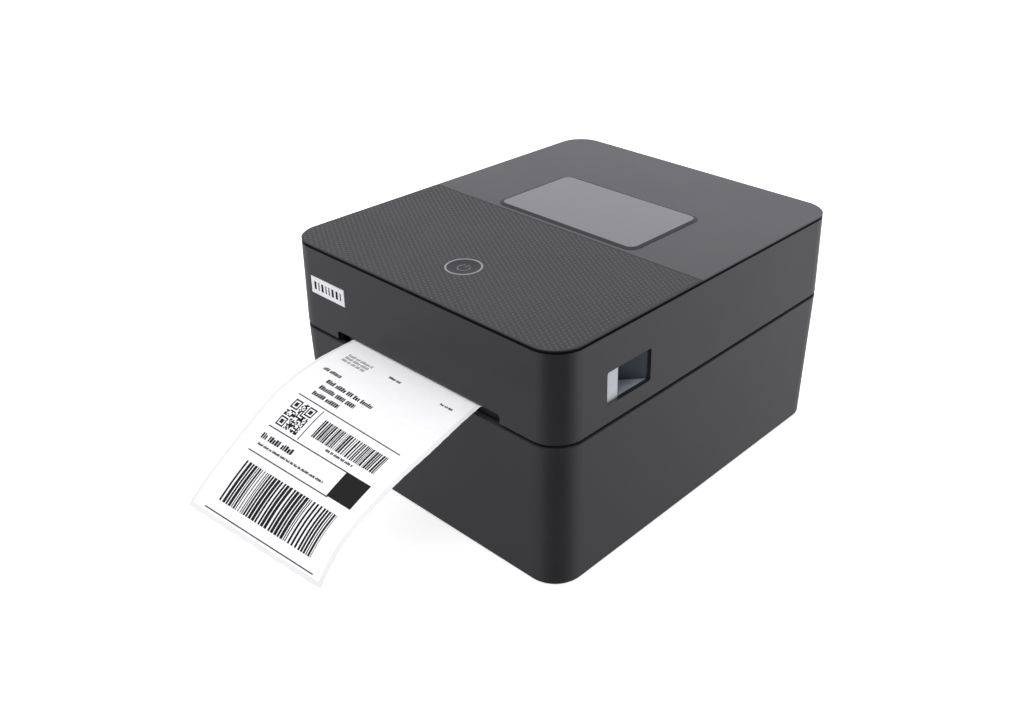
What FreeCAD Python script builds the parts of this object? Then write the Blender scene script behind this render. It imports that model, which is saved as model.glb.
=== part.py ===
import FreeCAD, Part

import math
import os

V = FreeCAD.Vector
X, Y, Z = V(1, 0, 0), V(0, 1, 0), V(0, 0, 1)

# A desktop thermal label printer. Millimetres. X is to the right, Y to the rear and Z up.
# The origin is under the middle of the case, on the plane that the printer stands on.

# Case
WIDTH = 210.0
DEPTH = 252.0
HEIGHT = 142.0
CORNER_R = 17.6
WALL = 3.0
PARTING_Z = 88.3
PARTING_GAP = 1.6
BASE_DRAFT = math.radians(0.75)
COVER_DRAFT = math.radians(0.9)
EDGE = 0.4
FOOT_EDGE = 1.0
BASE_TOP = PARTING_Z - PARTING_GAP / 2
COVER_BOTTOM = PARTING_Z + PARTING_GAP / 2
MIN_CORNER_R = 1.0
FAR = 400.0

# A cutter runs past the faces that it cuts by OVER. Parts that don't touch stay PLAY or LOOSE apart.
OVER = 1.0
PLAY = 0.2
LOOSE = 0.4
TINY = 0.01

# Floor of the base
RIM_WIDTH = 12.0
FLANGE_Z = 6.0
FLANGE_THICK = 2.5
FLOOR_THICK = 2.5
FLOOR_Z = FLANGE_Z - FLOOR_THICK
FLOOR_GAP = LOOSE
FOOT_R, FOOT_CHAMFER = 9.0, 0.8
FOOT_X, FOOT_Y = 78.0, 98.0
SCREW_X, SCREW_STEP_Y = 96.0, 84.0
SCREW_HEAD_R, SCREW_HEAD_H, SCREW_R = 2.8, 1.5, 1.5
DRIVE_HALF_LENGTH, DRIVE_HALF_WIDTH, DRIVE_DEPTH = 2.0, 0.4, 0.5
VENT_X, VENT_Y, VENT_STEP, VENT_ROWS = 50.0, 20.0, 8.0, 5
VENT_HALF_LENGTH, VENT_HALF_WIDTH, VENT_R = 14.0, 1.5, 1.4

# Cover top
PLATE_THICK = 1.0
NECK_HEIGHT = 1.4
NECK_INSET = 1.6
PLATE_UNDERCUT, PLATE_CHAMFER = 0.3, 0.3
DECK_TOP = HEIGHT - PLATE_THICK - NECK_HEIGHT
DECK_THICK = 2.6
DECK_UNDER = DECK_TOP - DECK_THICK
DIVIDER_Y = -12.6
DIVIDER_GAP = 0.3

# Window
PANE_X = 51.8
PANE_Y0, PANE_Y1 = -7.2, 54.2
PANE_R = 5.0
PANE_RISE = 0.9
PANE_BEVEL = 2.3
PANE_GROOVE = 0.3
PANE_REST, PANE_HOLE_R = 4.0, 4.0

# Feed button
BUTTON_Y = -86.7
RING_R = 10.5
RING_STROKE = 1.2
BUTTON_GAP = 0.2
BUTTON_SINK, BUTTON_THICK = 0.1, 1.5
DISH_R, DISH_DEPTH = 60.0, 0.7
STEM_R, STEM_GAP, STEM_END_Z = 3.4, 0.3, 134.0
STEM_FLANGE_R, STEM_FLANGE_GAP, STEM_FLANGE_Z = 6.0, 0.1, DECK_UNDER - 1.7
BOARD_THICK = 1.5
BUTTON_BOARD_TOP = 131.1
BUTTON_BOARD_X, BUTTON_BOARD_Y = 16.0, 9.0
SWITCH_HALF, SWITCH_BODY_H, PLUNGER_R, PLUNGER_H = 3.0, 1.6, 1.6, 0.5
RETURN_SPRING_R, RETURN_WIRE = 5.6, 0.9
BOARD_BOSS_X, BOARD_BOSS_R = 12.0, 2.5

# Slots in the cover's lower edge
SLOT_X, SLOT_TOP, SLOT_R = 65.2, 94.6, 2.2
FANFOLD_X, FANFOLD_TOP = 58.0, 94.6

# Badge
BADGE_X0, BADGE_X1 = -85.6, -56.0
BADGE_Z0, BADGE_Z1 = 112.5, 122.7
BADGE_PROUD = 0.4

# Release latches
LATCH_Y0, LATCH_Y1 = -89.8, -54.9
LATCH_Z0, LATCH_Z1 = 99.7, 118.8
LATCH_BAR = 10.4
LATCH_TRAVEL = 5.0
LATCH_FACE = 102.55
LATCH_GAP = 0.35
LATCH_THICK = 2.0
LATCH_LAP, LATCH_LAP_Z = 6.6, 3.2
LATCH_ROOM_Z = 4.0
LATCH_OPENING_R = 1.5
SCOOP_DEPTH, SCOOP_WALL = 12.0, 1.5
SCOOP_END, SCOOP_FLOOR_Y, SCOOP_EDGE_Z = 1.2, 10.0, 0.5
ARM_X0, ARM_X1 = 96.0, 99.0
ARM_Y0, ARM_Y1 = -74.0, -66.0
ARM_BOTTOM = 72.0
NOSE_REACH, NOSE_TIP, NOSE_TOP = 2.5, 4.0, 5.0
CATCH_LENGTH, CATCH_BOTTOM = 10.0, 60.0

# Hinge
HINGE_Y = 130.0
KNUCKLE_R = 3.5
HINGE_PIN_R, HINGE_PIN_END = 1.5, 0.5
FIT = 0.05
KNUCKLE_SPANS_BASE = ((70.0, 75.8), (82.2, 88.0))
KNUCKLE_SPAN_COVER = (76.0, 82.0)
ARM_DROP = 9.0

# Platen and its drive
PLATEN_Y, PLATEN_R = -104.0, 8.0
WEB_Z, WEB_THICK, CLEAR = 93.35, 0.3, 0.3
PLATEN_Z = WEB_Z - WEB_THICK / 2 - CLEAR - PLATEN_R
PLATEN_HALF = 54.0
PLATEN_CORE_R, SHAFT_R = 5.0, 3.0
SIDE_X, SIDE_THICK = 65.25, 1.5
SIDE_Y1 = -62.0
# The side plate's outline as (y, z), from its foot up over the platen.
SIDE_OUTLINE = (
    (-110, 6),
    (-62, 6),
    (-62, 70),
    (-88.5, 81),
    (-92, 91.5),
    (-112, 91.5),
    (-118, 84),
    (-118, 20),
)
SIDE_FOOT, SIDE_FOOT_Y0 = 12.0, -98.0
BUSH_R, BUSH_FLANGE_R, BUSH_FLANGE_THICK = 5.0, 6.5, 2.0
SHAFT_END_LEFT, SHAFT_END_RIGHT = 3.0, 0.6
MODULE = 0.8
PRESSURE = math.radians(20)
BACKLASH = 0.08
DEDENDUM = 1.25 * MODULE
FLANK_STEPS = 4
PLATEN_TEETH, IDLER_SMALL, IDLER_LARGE, PINION_TEETH = 30, 14, 36, 12
MOTOR_Y, MOTOR_Z = -96.0, 50.0
MOTOR_SIZE, MOTOR_LENGTH, MOTOR_BOSS_R, MOTOR_SHAFT_R = 42.0, 30.0, 11.0, 2.5
MOTOR_CAP, MOTOR_BORE_DEPTH = 3.0, 9.0
GEAR_X0, GEAR_FACE, GEAR_STEP = 68.0, 5.0, 6.0
IDLER_STUD_R, IDLER_COLLAR_R, IDLER_CLIP = 2.5, 4.0, 0.8

# Media
ROLL_Y, ROLL_Z, ROLL_R = 25.0, 68.0, 48.0
ROLL_HALF = 51.5
CORE_R, CORE_BORE = 14.5, 12.7
HUB_R, HUB_LENGTH, HUB_WALL, HUB_CHAMFER = 12.2, 8.0, 3.0, 1.0
TUB_R, TUB_WALL = 52.0, 2.5
TUB_HALF = 64.0
DECK_Z, DECK_PLATE = 81.5, 2.5
DECK_RIM_TOP, DECK_RIM_THICK = 91.0, 1.5
LEG_X, LEG_YS, LEG_R = 84.0, (-50.0, 104.0), 4.0
GUIDE_THICK, GUIDE_HALF_Y, GUIDE_BOSS_R = 4.0, 12.0, 18.2
GRIP_HALF_Y, GRIP_HEIGHT = 6.0, 30.0
PINION_STUD_R, PINION_WASHER_R, PINION_HEAD = 2.0, 3.2, 0.6
RACK_Z, RACK_H = 7.4, 4.6
RACK_TEETH = 16
RACK_LENGTH_IN = 8.0
RACK_BACK, RACK_TOOTH_REACH = 3.0, 24.0
WEB_FLAT_Y = -75.0
WEB_END = 0.5
STRIP_STEPS = 24

# Front of the paper path
FRONT_DECK_Y0, FRONT_DECK_Y1 = -122.0, -60.5
WELL_Y0, WELL_Y1, GEAR_WELL_Y1 = -118.5, -88.0, -80.2
# The guide lip in front of the platen, as (y, z).
LIP_OUTLINE = ((-121.5, 84), (-113, 84), (-113, 90), (-116.5, 92.6), (-121.5, 92.6))
LIP_X = 60.0
HOOD_Y0, HOOD_Y1, HOOD_TOP, HOOD_WALL = -120.0, -78.6, 100.0, 1.3
SENSOR_Y0, SENSOR_Y1 = -84.0, -74.0
RAIL_X, RAIL_TOP, RAIL_END, RAIL_SIDE = 58.0, 87.5, 2.0, 3.0
SENSOR_X, SENSOR_Z0, SENSOR_Z1 = 6.0, 87.8, 92.6
LENS_R, LENS_DEPTH = 1.5, 0.7

# Print head
HEAD_Y0, HEAD_Y1 = -109.5, -88.0
HEAD_Z = 93.85
HEAD_PIVOT_Y, HEAD_PIVOT_Z, HEAD_PIN_R = -82.0, 105.0, 2.0
HEAD_THICK, HEAD_FRONT, HEAD_BACK = 2.0, 1.0, 6.0
SINK_X, SINK_TOP, SINK_BASE = 56.0, 103.0, 3.0
FIN_COUNT, FIN_START, FIN_PITCH, FIN_GAP = 4, 3.5, 4.5, 2.0
FIN_SPANS = ((-54, -41), (-31, -5), (5, 31), (41, 54))
LUG_X, LUG_BELOW, LUG_ROUND = 46.0, 5.0, 4.0
FRAME_X, FRAME_Y0, FRAME_Y1, FRAME_R = 88.0, -113.8, -40.0, 4.0
FRAME_Z, FRAME_THICK = 116.0, 2.5
FRAME_HOLE_X, FRAME_HOLE_Y, FRAME_HOLE_R = 22.0, 12.0, 3.0
RIB_X, RIB_THICK, RIB_BOTTOM = 62.0, 2.5, 98.5
COVER_SCREW_X, COVER_SCREW_YS, COVER_POST_R = 84.0, (-104.0, -46.0), 3.5
EAR_X, EAR_HALF_Y, EAR_FOOT = 59.0, 5.0, 11.0
SPRING_XS = (-36.0, 0.0, 36.0)
SPRING_R, SPRING_WIRE = 3.5, 0.8
TEAR_X, TEAR_TEETH = 60.0, 60
TEAR_Z0, TEAR_TOP, TEAR_THICK = 95.2, 106.0, 1.0
TEAR_FRONT, TEAR_ROOT, TEAR_BACK, TEAR_LEG = -122.6, -121.0, -113.8, 1.2

# Rear sockets and switch
BOARD_Z = 20.0
BOARD_X0, BOARD_X1 = 67.5, 97.0
BOARD_Y0, BOARD_Y1 = -10.0, 112.0
BOARD_POST_R, BOARD_POST_XS, BOARD_POST_YS = 3.0, (72.5, 87.0), (-4.0, 96.0)
# Chips on the board, as x0, x1, y0, y1 and height, and capacitors, as x and y.
CHIPS = ((76, 90, 20, 34, 1.6), (78, 86, 44, 56, 1.2), (90, 97, 10, 16, 4.0), (72, 76, 60, 80, 6.0))
CAPACITORS = ((92, 52), (92, 66), (80, 88))
CAPACITOR_R, CAPACITOR_H = 4.0, 11.0
DC_X, USB_X, SOCKET_Z = 86.0, 73.0, 27.0
SWITCH_X, SWITCH_Z = 82.0, 58.0
DC_HOLE_R, DC_NOSE_R, DC_BORE_R, DC_PIN_R = 5.0, 4.6, 3.15, 1.25
DC_PIN_SINK = 1.5
DC_HALF, DC_TOP, DC_LENGTH, DC_WALL_GAP, DC_BORE_DEPTH = 4.8, 5.0, 13.0, 1.2, 9.0
USB_W, USB_H, USB_LENGTH, USB_SINK = 12.4, 11.2, 16.0, 1.4
USB_MOUTH_X, USB_MOUTH_Z, USB_DEPTH = 4.3, 4.0, 10.0
TONGUE_X, TONGUE_Z = 2.8, 1.6
SWITCH_W, SWITCH_H, SWITCH_LENGTH, SWITCH_PROUD = 13.0, 19.4, 18.0, 1.8
SWITCH_RIM_X, SWITCH_RIM_Z = 7.5, 10.7
SWITCH_WELL_X, SWITCH_WELL_Z, SWITCH_BACK = 5.0, 8.6, 4.0
ROCKER_TILT, ROCKER_REACH, ROCKER_X = 7.0, 7.8, 4.7
ROCKER_BACK, ROCKER_BACK_Z, ROCKER_FRONT, ROCKER_PIN_R = 4.0, 3.0, 3.2, 1.0
ROCKER_PIVOT_Y = DEPTH / 2 - 2.0

# Label hanging out of the slot: its middle line as (y, z), and its width
LABEL_WIDTH = 103.0
LABEL_LINE = ((-127.5, 93.2), (-141.0, 91.3), (-160.0, 85.4), (-184.0, 78.2), (-211.0, 62.9), (-234.0, 41.6))


def box(x0, x1, y0, y1, z0, z1):
    return Part.makeBox(x1 - x0, y1 - y0, z1 - z0, V(x0, y0, z0))


def mirrored_x(shape):
    return shape.mirror(V(0, 0, 0), X)


def both_sides(shape):
    return [shape, mirrored_x(shape)]


def fused(shapes):
    return shapes[0].multiFuse(shapes[1:]).removeSplitter()


def cylinder_x(radius, x0, x1, y, z):
    return Part.makeCylinder(radius, x1 - x0, V(x0, y, z), X)


def cylinder_y(radius, y0, y1, x, z):
    return Part.makeCylinder(radius, y1 - y0, V(x, y0, z), Y)


def cylinder_z(radius, z0, z1, x, y):
    return Part.makeCylinder(radius, z1 - z0, V(x, y, z0), Z)


def tube_x(r_out, r_in, x0, x1, y, z):
    return cylinder_x(r_out, x0, x1, y, z).cut(cylinder_x(r_in, x0, x1, y, z))


def tube_z(r_out, r_in, z0, z1, x, y):
    return cylinder_z(r_out, z0, z1, x, y).cut(cylinder_z(r_in, z0, z1, x, y))


def prism(points, direction):
    """A solid from a closed outline of points, pushed along a vector."""
    return Part.Face(Part.makePolygon(list(points) + [points[0]])).extrude(direction)


def profile_x(yz, x0, x1):
    """A solid with an outline in the Y-Z plane, from x0 to x1."""
    return prism([V(x0, y, z) for y, z in yz], V(x1 - x0, 0, 0))


def rounded_wire(x0, x1, y0, y1, radius, z):
    """A rectangle with round corners, level at height z."""
    s = radius * (1 - math.sqrt(0.5))
    corners = (
        (V(x1 - radius, y0, z), V(x1 - s, y0 + s, z), V(x1, y0 + radius, z)),
        (V(x1, y1 - radius, z), V(x1 - s, y1 - s, z), V(x1 - radius, y1, z)),
        (V(x0 + radius, y1, z), V(x0 + s, y1 - s, z), V(x0, y1 - radius, z)),
        (V(x0, y0 + radius, z), V(x0 + s, y0 + s, z), V(x0 + radius, y0, z)),
    )
    edges = []
    for i, (start, middle, end) in enumerate(corners):
        edges.append(Part.Arc(start, middle, end).toShape())
        edges.append(Part.LineSegment(end, corners[(i + 1) % 4][0]).toShape())
    return Part.Wire(edges)


def rounded_block(x0, x1, y0, y1, radius, z0, z1):
    return Part.Face(rounded_wire(x0, x1, y0, y1, radius, z0)).extrude(V(0, 0, z1 - z0))


def draft(z):
    """How far the case wall leans in at height z."""
    if z < PARTING_Z:
        return math.tan(BASE_DRAFT) * (PARTING_Z - z)
    return math.tan(COVER_DRAFT) * (z - PARTING_Z)


def case_wire(z, inset):
    lean = draft(z) + inset
    hx, hy = WIDTH / 2 - lean, DEPTH / 2 - lean
    return rounded_wire(-hx, hx, -hy, hy, max(CORNER_R - inset, MIN_CORNER_R), z)


def case_block(levels):
    """The case outline through a list of (height, inset from the outer wall)."""
    return Part.makeLoft([case_wire(z, inset) for z, inset in levels], True, True)


# ---- base case ----


def base_shell():
    outer = case_block(((0, FOOT_EDGE), (FOOT_EDGE, 0), (BASE_TOP - EDGE, 0), (BASE_TOP, EDGE)))
    flange_top = FLANGE_Z + FLANGE_THICK
    shell = outer.cut(case_block(((flange_top, WALL), (BASE_TOP + OVER, WALL))))
    shell = shell.cut(case_block(((-OVER, WALL), (FLANGE_Z, WALL))))
    shell = shell.cut(case_block(((FLANGE_Z - OVER, RIM_WIDTH), (flange_top + OVER, RIM_WIDTH))))
    for x, y in screw_places():
        shell = shell.cut(cylinder_z(SCREW_R, FLANGE_Z - OVER, flange_top + OVER, x, y))
    for cutter in rear_wall_cutters():
        shell = shell.cut(cutter)
    arms = []
    for x0, x1 in KNUCKLE_SPANS_BASE:
        arms += both_sides(hinge_knuckle(x0, x1, PARTING_Z - ARM_DROP, BASE_TOP, HINGE_PIN_R))
    return fused([shell] + arms)


def screw_places():
    return [(sx * SCREW_X, i * SCREW_STEP_Y) for sx in (-1, 1) for i in (-1, 0, 1)]


def hinge_knuckle(x0, x1, arm_z0, arm_z1, bore_r):
    """One knuckle behind the case, with the arm that joins it to the wall."""
    knuckle = cylinder_x(KNUCKLE_R, x0, x1, HINGE_Y, PARTING_Z)
    arm = box(x0, x1, DEPTH / 2 - WALL / 2, HINGE_Y, arm_z0, arm_z1)
    low, high = (arm_z0, PARTING_Z) if arm_z0 < PARTING_Z else (PARTING_Z, arm_z1)
    outline = [(HINGE_Y, low), (HINGE_Y + KNUCKLE_R, PARTING_Z), (HINGE_Y, PARTING_Z)]
    if arm_z0 > PARTING_Z:
        outline[0] = (HINGE_Y, high)
    web = profile_x(outline, x0, x1)
    bore = cylinder_x(bore_r, x0 - OVER, x1 + OVER, HINGE_Y, PARTING_Z)
    neck = box(x0, x1, HINGE_Y - KNUCKLE_R, HINGE_Y, min(arm_z0, PARTING_Z), max(arm_z1, PARTING_Z))
    return fused([knuckle, arm, web, neck]).cut(bore)


def rear_wall_cutters():
    """Holes in the rear wall for the power inlet, the data port and the rocker switch."""
    y0, y1 = DEPTH / 2 - 2 * WALL, DEPTH / 2 + WALL
    return (
        cylinder_y(DC_HOLE_R, y0, y1, DC_X, SOCKET_Z),
        box(USB_X - USB_W / 2, USB_X + USB_W / 2, y0, y1, SOCKET_Z - USB_H / 2, SOCKET_Z + USB_H / 2),
        box(
            SWITCH_X - SWITCH_W / 2,
            SWITCH_X + SWITCH_W / 2,
            y0,
            y1,
            SWITCH_Z - SWITCH_H / 2,
            SWITCH_Z + SWITCH_H / 2,
        ),
    )


def bottom_plate():
    z0, z1 = FLOOR_Z - OVER, FLANGE_Z + OVER
    plate = case_block(((FLOOR_Z, WALL + FLOOR_GAP), (FLANGE_Z, WALL + FLOOR_GAP)))
    for x, y in screw_places():
        plate = plate.cut(cylinder_z(SCREW_R + PLAY, z0, z1, x, y))
    for row in range(VENT_ROWS):
        y = VENT_Y + row * VENT_STEP
        y0, y1 = y - VENT_HALF_WIDTH, y + VENT_HALF_WIDTH
        for x in (-VENT_X, VENT_X):
            x0, x1 = x - VENT_HALF_LENGTH, x + VENT_HALF_LENGTH
            plate = plate.cut(rounded_block(x0, x1, y0, y1, VENT_R, z0, z1))
    return plate


def rubber_feet():
    feet = []
    for sx in (-1, 1):
        for sy in (-1, 1):
            pad = cylinder_z(FOOT_R, 0, FLOOR_Z, sx * FOOT_X, sy * FOOT_Y)
            feet.append(pad.makeChamfer(FOOT_CHAMFER, [pad.Edges[2]]))
    return feet


def screw_slot(x, y, head_z):
    """The driver slot in a screw head that faces down, with its face at head_z."""
    return box(
        x - DRIVE_HALF_LENGTH,
        x + DRIVE_HALF_LENGTH,
        y - DRIVE_HALF_WIDTH,
        y + DRIVE_HALF_WIDTH,
        head_z,
        head_z + DRIVE_DEPTH,
    )


def case_screws():
    screws = []
    head_z = FLOOR_Z - SCREW_HEAD_H
    for x, y in screw_places():
        head = cylinder_z(SCREW_HEAD_R, head_z, FLOOR_Z, x, y)
        shank = cylinder_z(SCREW_R, FLOOR_Z, FLANGE_Z + FLANGE_THICK, x, y)
        screws.append(head.fuse(shank).cut(screw_slot(x, y, head_z)))
    return screws


def hinge_pins():
    x0, x1 = KNUCKLE_SPANS_BASE[0][0], KNUCKLE_SPANS_BASE[1][1]
    return both_sides(cylinder_x(HINGE_PIN_R, x0 - HINGE_PIN_END, x1 + HINGE_PIN_END, HINGE_Y, PARTING_Z))


# ---- media frame and roll ----


def media_frame():
    """The deck inside the base and the round-bottomed tub that the roll lies in."""
    deck = case_block(((DECK_Z, WALL + FLOOR_GAP), (DECK_Z + DECK_PLATE, WALL + FLOOR_GAP)))
    deck = deck.common(box(-FAR, FAR, FRONT_DECK_Y1, FAR, DECK_Z, DECK_Z + DECK_PLATE))
    outer_r = TUB_R + TUB_WALL
    half = TUB_HALF + TUB_WALL
    top = DECK_Z + DECK_PLATE
    body = cylinder_x(outer_r, -half, half, ROLL_Y, ROLL_Z)
    body = body.fuse(box(-half, half, ROLL_Y - outer_r, ROLL_Y + outer_r, ROLL_Z, top))
    body = body.common(box(-FAR, FAR, -FAR, FAR, 0, top))
    hollow = cylinder_x(TUB_R, -TUB_HALF, TUB_HALF, ROLL_Y, ROLL_Z)
    hollow = hollow.fuse(box(-TUB_HALF, TUB_HALF, ROLL_Y - TUB_R, ROLL_Y + TUB_R, ROLL_Z, top + OVER))
    frame = fused([deck, body]).cut(hollow)
    slot_y = GUIDE_HALF_Y + LOOSE
    slot = box(ROLL_HALF - LOOSE, TUB_HALF - OVER, ROLL_Y - slot_y, ROLL_Y + slot_y, 0, ROLL_Z / 2)
    for cutter in both_sides(slot):
        frame = frame.cut(cutter)
    rim = deck_rim(FRONT_DECK_Y1, FAR)
    fanfold = box(-FANFOLD_X - OVER, FANFOLD_X + OVER, ROLL_Y + outer_r, FAR, top, FAR)
    frame = fused([frame, rim]).cut(fanfold)
    legs = [cylinder_z(LEG_R, FLANGE_Z, DECK_Z, -LEG_X, y) for y in LEG_YS]
    legs.append(cylinder_z(LEG_R, FLANGE_Z, DECK_Z, LEG_X, LEG_YS[0]))
    return fused([frame] + legs)


def deck_rim(y0, y1):
    """The upstand round the deck that stands inside the cover's wall and hides the parting gap."""
    inset = WALL + FLOOR_GAP
    heights = (DECK_Z, PARTING_Z, DECK_RIM_TOP)
    outer = case_block([(z, inset) for z in heights])
    inner = case_block([(z, inset + DECK_RIM_THICK) for z in heights])
    return outer.cut(inner).common(box(-FAR, FAR, y0, y1, DECK_Z, DECK_RIM_TOP))


def label_roll():
    return tube_x(ROLL_R, CORE_R, -ROLL_HALF, ROLL_HALF, ROLL_Y, ROLL_Z)


def roll_core():
    return tube_x(CORE_R, CORE_BORE, -ROLL_HALF, ROLL_HALF, ROLL_Y, ROLL_Z)


def pinion_radius():
    return MODULE * RACK_TEETH / 2


def rack(side):
    """A straight rack under the tub; the left one runs in front of the pinion, the right one behind."""
    pitch = math.pi * MODULE
    half_tip = pitch / 4 - BACKLASH - MODULE * math.tan(PRESSURE)
    half_root = pitch / 4 - BACKLASH + DEDENDUM * math.tan(PRESSURE)
    x_out, x_in = side * (ROLL_HALF + GUIDE_THICK), -side * RACK_LENGTH_IN
    line = ROLL_Y + side * pinion_radius()
    root, tip = line + side * DEDENDUM, line - side * MODULE
    back = root + side * RACK_BACK
    low, high = min(x_out, x_in), max(x_out, x_in)
    bar = box(low, high, min(root, back), max(root, back), RACK_Z, RACK_Z + RACK_H)
    teeth = []
    first, last = math.ceil(low / pitch), math.floor(high / pitch)
    for i in range(first, last):
        middle = (i + 0.5) * pitch
        if abs(middle) > RACK_TOOTH_REACH:
            continue
        outline = [
            V(middle - half_root, root, RACK_Z),
            V(middle - half_tip, tip, RACK_Z),
            V(middle + half_tip, tip, RACK_Z),
            V(middle + half_root, root, RACK_Z),
        ]
        teeth.append(prism(outline, V(0, 0, RACK_H)))
    return fused([bar] + teeth)


def roll_guide(side):
    """A roll holder: an upright with the hub that the core turns on, and the rack at its foot."""
    x0, x1 = ROLL_HALF + LOOSE, ROLL_HALF + LOOSE + GUIDE_THICK
    hub_x = x0 - HUB_LENGTH
    upright = box(x0, x1, ROLL_Y - GUIDE_HALF_Y, ROLL_Y + GUIDE_HALF_Y, RACK_Z, ROLL_Z)
    round_top = cylinder_x(GUIDE_BOSS_R, x0, x1, ROLL_Y, ROLL_Z)
    hub = cylinder_x(HUB_R, hub_x, x0, ROLL_Y, ROLL_Z)
    hub = hub.makeChamfer(HUB_CHAMFER, [e for e in hub.Edges if e.BoundBox.XMax < hub_x + TINY][:1])
    hollow = cylinder_x(HUB_R - HUB_WALL, hub_x - OVER, x0 + OVER, ROLL_Y, ROLL_Z)
    grip = box(x0, x1, ROLL_Y - GRIP_HALF_Y, ROLL_Y + GRIP_HALF_Y, ROLL_Z, ROLL_Z + GRIP_HEIGHT)
    holder = fused([upright, round_top, hub, grip]).cut(hollow)
    if side < 0:
        holder = mirrored_x(holder)
    return fused([holder, rack(side)])


def guide_pinion():
    blank = gear(RACK_TEETH, -math.pi / 2, RACK_H)
    blank.Placement = FreeCAD.Placement(V(0, ROLL_Y, RACK_Z), FreeCAD.Rotation())
    return blank.cut(cylinder_z(PINION_STUD_R + FIT, RACK_Z - OVER, RACK_Z + RACK_H + OVER, 0, ROLL_Y))


def pinion_stud():
    stud = cylinder_z(PINION_STUD_R, FLANGE_Z, RACK_Z + RACK_H + PINION_HEAD, 0, ROLL_Y)
    washer = cylinder_z(PINION_WASHER_R, FLANGE_Z, RACK_Z - LOOSE, 0, ROLL_Y)
    return stud.fuse(washer)


# ---- gears ----


def involute_half_angle(teeth, radius):
    """Half the angle of a tooth at a radius, for a standard involute tooth with backlash."""
    pitch_r = MODULE * teeth / 2
    base_r = pitch_r * math.cos(PRESSURE)
    at_pitch = math.pi / (2 * teeth) - BACKLASH / pitch_r
    flank = math.acos(min(1.0, base_r / radius))
    return at_pitch + (math.tan(PRESSURE) - PRESSURE) - (math.tan(flank) - flank)


def gear(teeth, phase, face):
    """A spur gear on the XY plane, with one tooth centred at the phase angle."""
    pitch_r = MODULE * teeth / 2
    root_r = pitch_r - DEDENDUM
    start_r = max(pitch_r * math.cos(PRESSURE), root_r + FIT)
    tip_r = pitch_r + MODULE
    radii = [start_r + (tip_r - start_r) * i / FLANK_STEPS for i in range(FLANK_STEPS + 1)]
    points = []
    for tooth in range(teeth):
        middle = phase + 2 * math.pi * tooth / teeth
        root_half = involute_half_angle(teeth, start_r)
        rising = [(root_r, middle - root_half)]
        rising += [(r, middle - involute_half_angle(teeth, r)) for r in radii]
        falling = [(r, 2 * middle - a) for r, a in reversed(rising)]
        points += [V(r * math.cos(a), r * math.sin(a), 0) for r, a in rising + falling]
    return prism(points, V(0, 0, face))


def gear_x(teeth, phase, x0, face, y, z, bore):
    """A spur gear that turns on an X axis. The phase is measured from +Y towards +Z."""
    blank = gear(teeth, phase, face)
    turn = FreeCAD.Rotation(Y, Z, X, "ZXY")
    blank.Placement = FreeCAD.Placement(V(x0, y, z), turn)
    return blank.cut(cylinder_x(bore, x0 - OVER, x0 + face + OVER, y, z))


def meshed_phase(teeth_a, phase_a, angle, teeth_b):
    """The phase of gear b that meshes with gear a, when b lies at this angle from a."""
    share = (angle - phase_a) * teeth_a / (2 * math.pi)
    return angle + math.pi - (0.5 - share) * 2 * math.pi / teeth_b


def idler_place():
    """Where the double idler's axis lies, so that it meshes with both the platen gear and the pinion."""
    r1 = MODULE * (PLATEN_TEETH + IDLER_SMALL) / 2
    r2 = MODULE * (PINION_TEETH + IDLER_LARGE) / 2
    dy, dz = MOTOR_Y - PLATEN_Y, MOTOR_Z - PLATEN_Z
    d = math.hypot(dy, dz)
    along = (r1 * r1 - r2 * r2 + d * d) / (2 * d)
    across = math.sqrt(r1 * r1 - along * along)
    uy, uz = dy / d, dz / d
    return PLATEN_Y + uy * along - uz * across, PLATEN_Z + uz * along + uy * across


IDLER_Y, IDLER_Z = idler_place()
TO_IDLER = math.atan2(IDLER_Z - PLATEN_Z, IDLER_Y - PLATEN_Y)
TO_MOTOR = math.atan2(MOTOR_Z - IDLER_Z, MOTOR_Y - IDLER_Y)
IDLER_PHASE = meshed_phase(PLATEN_TEETH, 0.0, TO_IDLER, IDLER_SMALL)
PINION_PHASE = meshed_phase(IDLER_LARGE, IDLER_PHASE, TO_MOTOR, PINION_TEETH)
OUTER_GEAR_X0 = GEAR_X0 + GEAR_STEP


def platen_gear():
    return gear_x(PLATEN_TEETH, 0.0, GEAR_X0, GEAR_FACE, PLATEN_Y, PLATEN_Z, SHAFT_R)


def idler_gear():
    small = gear_x(IDLER_SMALL, IDLER_PHASE, GEAR_X0, GEAR_STEP, IDLER_Y, IDLER_Z, IDLER_STUD_R + FIT)
    large = gear_x(IDLER_LARGE, IDLER_PHASE, OUTER_GEAR_X0, GEAR_FACE, IDLER_Y, IDLER_Z, IDLER_STUD_R + FIT)
    return small.fuse(large)


def idler_stud():
    plate_x = SIDE_X + SIDE_THICK
    clip_x = OUTER_GEAR_X0 + GEAR_FACE + PLAY
    stud = cylinder_x(IDLER_STUD_R, plate_x, clip_x + 2 * IDLER_CLIP, IDLER_Y, IDLER_Z)
    collar = cylinder_x(IDLER_COLLAR_R, plate_x, GEAR_X0 - PLAY, IDLER_Y, IDLER_Z)
    clip = cylinder_x(IDLER_COLLAR_R, clip_x, clip_x + IDLER_CLIP, IDLER_Y, IDLER_Z)
    return fused([stud, collar, clip])


def motor_pinion():
    return gear_x(PINION_TEETH, PINION_PHASE, OUTER_GEAR_X0, GEAR_FACE, MOTOR_Y, MOTOR_Z, MOTOR_SHAFT_R)


def motor_shaft():
    x0, x1 = SIDE_X - MOTOR_BORE_DEPTH + OVER, OUTER_GEAR_X0 + GEAR_FACE + OVER
    return cylinder_x(MOTOR_SHAFT_R, x0, x1, MOTOR_Y, MOTOR_Z)


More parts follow.
